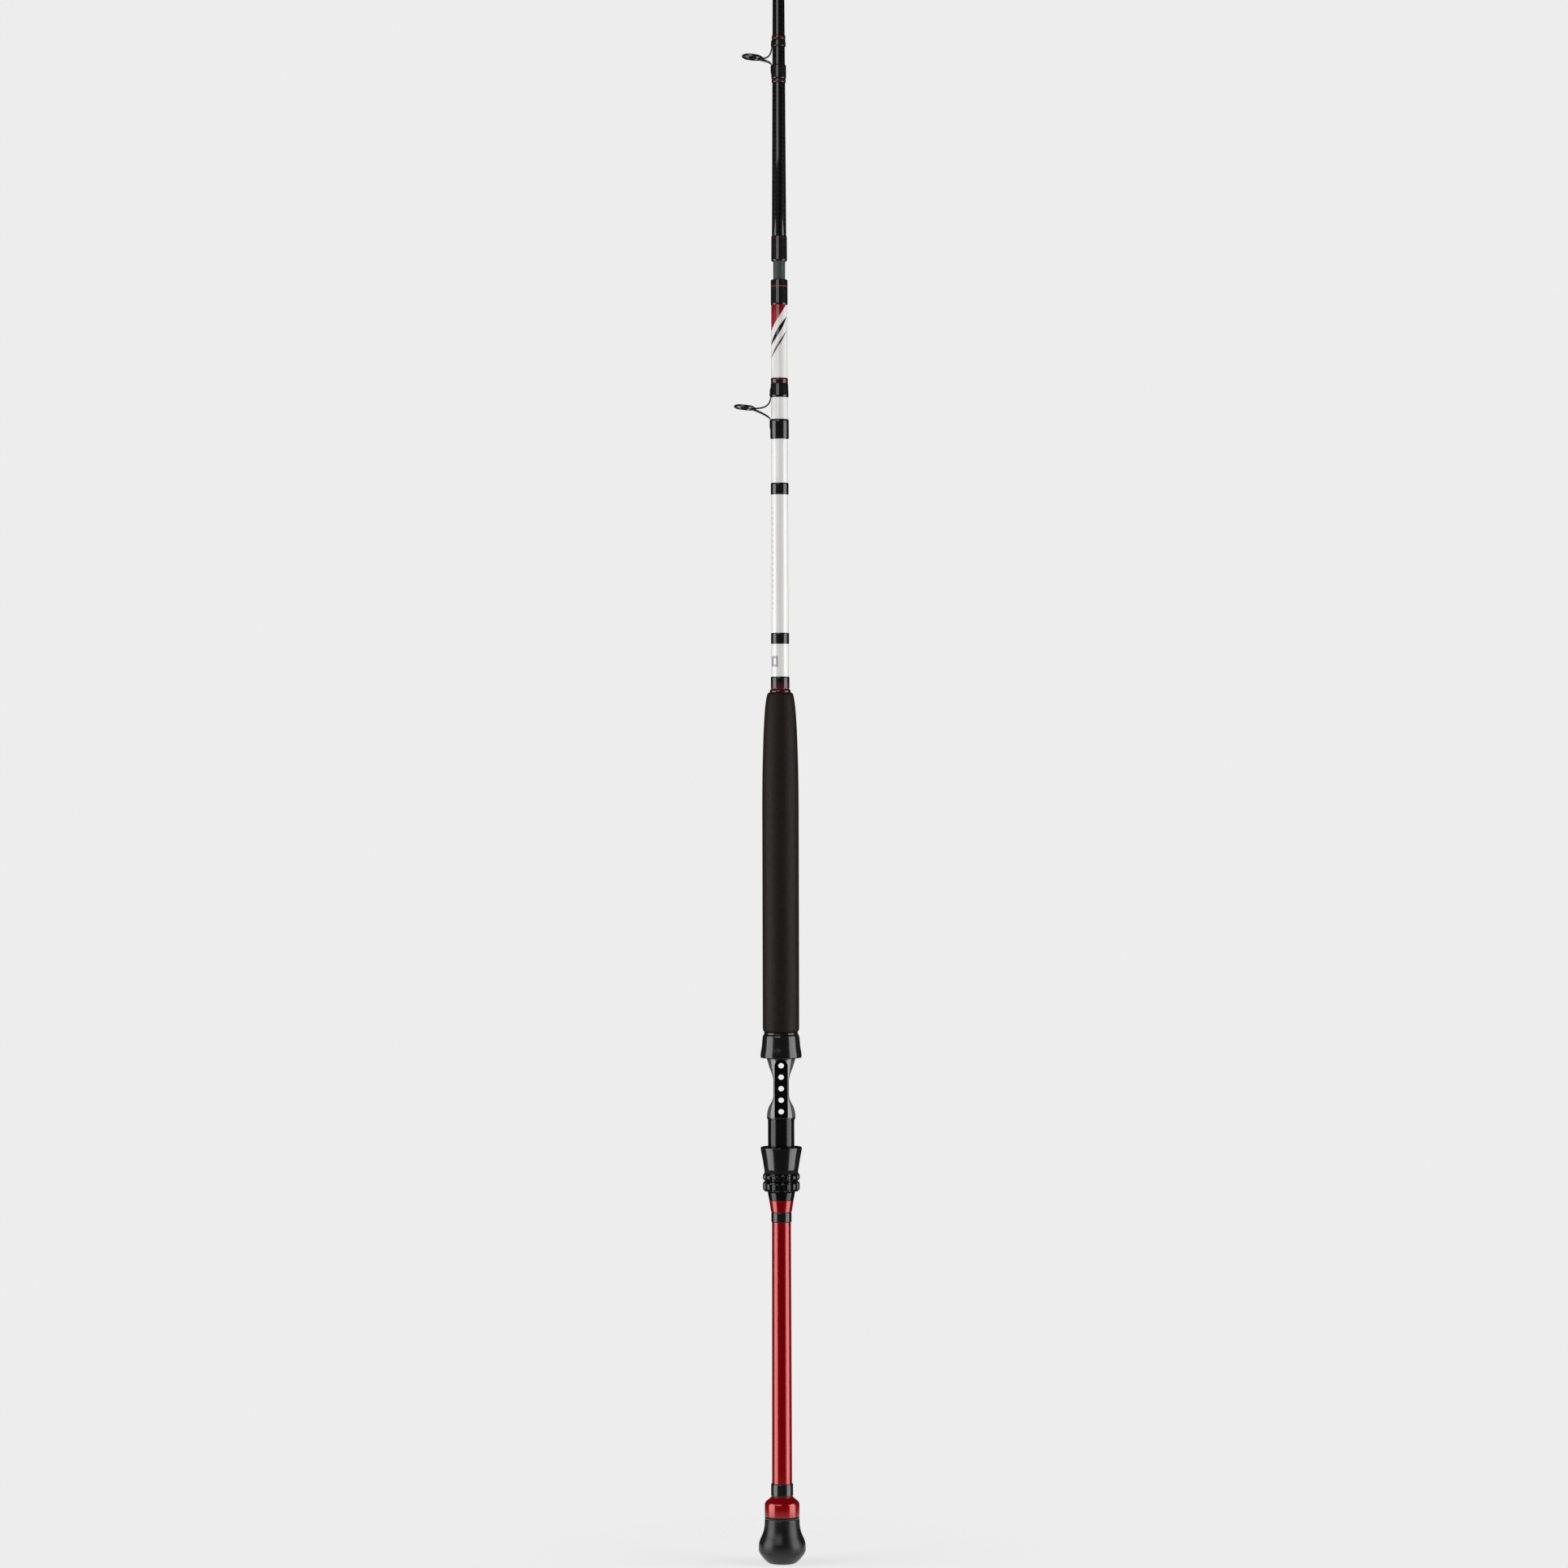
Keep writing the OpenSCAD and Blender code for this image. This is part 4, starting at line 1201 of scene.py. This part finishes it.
# The front box shows only in the tip section's gloss. The front fill gives light and shows in no gloss.
FRONT_BOTTOM = 1.33
FRONT_HEIGHT = 1.63
FRONT_WIDTH = 1.7
FRONT_PLACE = (-1.05, -2.3)
FRONT_RADIANCE = 2.2
FRONT_FILL_AWAY = 2.5
FRONT_FILL_MIDDLE = 0.8
FRONT_FILL_SIZE = (2.0, 2.6)
FRONT_FILL_RADIANCE = 0.5

VIEW_AWAY = 4
VIEW_WIDTH = 1.391
VIEW_CENTRE = (0.0032, 0.6908)
VIEW_ROLL = math.radians(-0.14)


def stage_floor():
    """A small pale disc under the rod that fades out at its edge."""
    bm = bmesh.new()
    bmesh.ops.create_circle(bm, cap_ends=True, segments=SEGMENTS, radius=FLOOR_RADIUS)
    mesh = bpy.data.meshes.new("floor")
    bm.to_mesh(mesh)
    bm.free()
    floor = bpy.data.objects.new("floor", mesh)
    floor.location.z = -FLOOR_DROP
    bpy.context.scene.collection.objects.link(floor)
    g = Graph("floor", base_color=FLOOR_GREY, roughness=0.9, emission_color=(1, 1, 1, 1),
              emission_strength=FLOOR_GLOW)
    away = g.node("VectorMath", {0: g.place}, operation="LENGTH").outputs["Value"]
    clear = g.node("BsdfTransparent").outputs[0]
    share = g.between(away, *FLOOR_FADE)
    mixed = g.node("MixShader", {0: share, 1: g.shader.outputs[0], 2: clear})
    g.feed(g.tree.nodes["Material Output"].inputs["Surface"], mixed.outputs[0])
    mesh.materials.append(g.material)


def stage_world():
    """A pale backdrop that the camera sees, and a dim one that the rod reflects."""
    world = bpy.data.worlds.new("studio")
    bpy.context.scene.world = world
    world.use_nodes = True
    tree = world.node_tree
    background = tree.nodes["Background"]
    rays = tree.nodes.new("ShaderNodeLightPath")
    level = tree.nodes.new("ShaderNodeMapRange")
    level.inputs["To Min"].default_value = AMBIENT
    level.inputs["To Max"].default_value = BACKDROP
    tree.links.new(rays.outputs["Is Camera Ray"], level.inputs["Value"])
    tree.links.new(level.outputs[0], background.inputs["Strength"])
    background.inputs["Color"].default_value = (1, 1, 1, 1)


def softbox(name, place, width, height, radiance, mirrored=True, lighting=True):
    """A lamp out of sight that faces the rod's axis. It is mirrored in gloss, lights the rod, or both."""
    lamp = bpy.data.lights.new(name, "AREA")
    lamp.shape = "RECTANGLE"
    lamp.size = width
    lamp.size_y = height
    lamp.energy = radiance * math.pi * width * height
    box = bpy.data.objects.new(name, lamp)
    box.location = place
    aim = Vector((-place[0], -place[1], 0))
    box.rotation_euler = aim.to_track_quat("-Z", "Y").to_euler()
    box.visible_camera = False
    box.visible_glossy = mirrored
    box.visible_diffuse = lighting
    bpy.context.scene.collection.objects.link(box)


def stage_lights():
    """Two tall side boxes with fills above them, and a box and a fill in front."""
    middle = (SIDE_TOP + SIDE_BOTTOM) / 2
    for name, hand in (("left", -1), ("right", 1)):
        x = hand * SIDE_AWAY * math.sin(SIDE_AZIMUTH)
        y = -SIDE_AWAY * math.cos(SIDE_AZIMUTH)
        softbox(f"softbox_{name}", (x, y, middle), SIDE_WIDTH, SIDE_TOP - SIDE_BOTTOM, SIDE_RADIANCE)
        softbox(f"fill_{name}", (x, y, SIDE_TOP + SIDE_FILL_HEIGHT / 2), SIDE_WIDTH, SIDE_FILL_HEIGHT,
                SIDE_FILL_RADIANCE, mirrored=False)
    softbox("softbox_front", (*FRONT_PLACE, FRONT_BOTTOM + FRONT_HEIGHT / 2), FRONT_WIDTH, FRONT_HEIGHT,
            FRONT_RADIANCE, lighting=False)
    softbox("fill_front", (0, -FRONT_FILL_AWAY, FRONT_FILL_MIDDLE), *FRONT_FILL_SIZE,
            FRONT_FILL_RADIANCE, mirrored=False)


def stage_camera():
    """A long lens that looks straight along +Y and frames the rod from its cap to above the ferrule."""
    camera = bpy.data.cameras.new("camera")
    camera.sensor_width = 36
    camera.lens = camera.sensor_width * VIEW_AWAY / VIEW_WIDTH
    view = bpy.data.objects.new("camera", camera)
    across, up = VIEW_CENTRE
    view.matrix_world = (Matrix.Translation((across, -VIEW_AWAY, up))
                         @ Matrix.Rotation(math.pi / 2, 4, "X")
                         @ Matrix.Rotation(VIEW_ROLL, 4, "Z"))
    bpy.context.scene.collection.objects.link(view)
    bpy.context.scene.camera = view


build_rod()
stage_floor()
stage_world()
stage_lights()
stage_camera()
bpy.context.scene.view_settings.view_transform = "Standard"
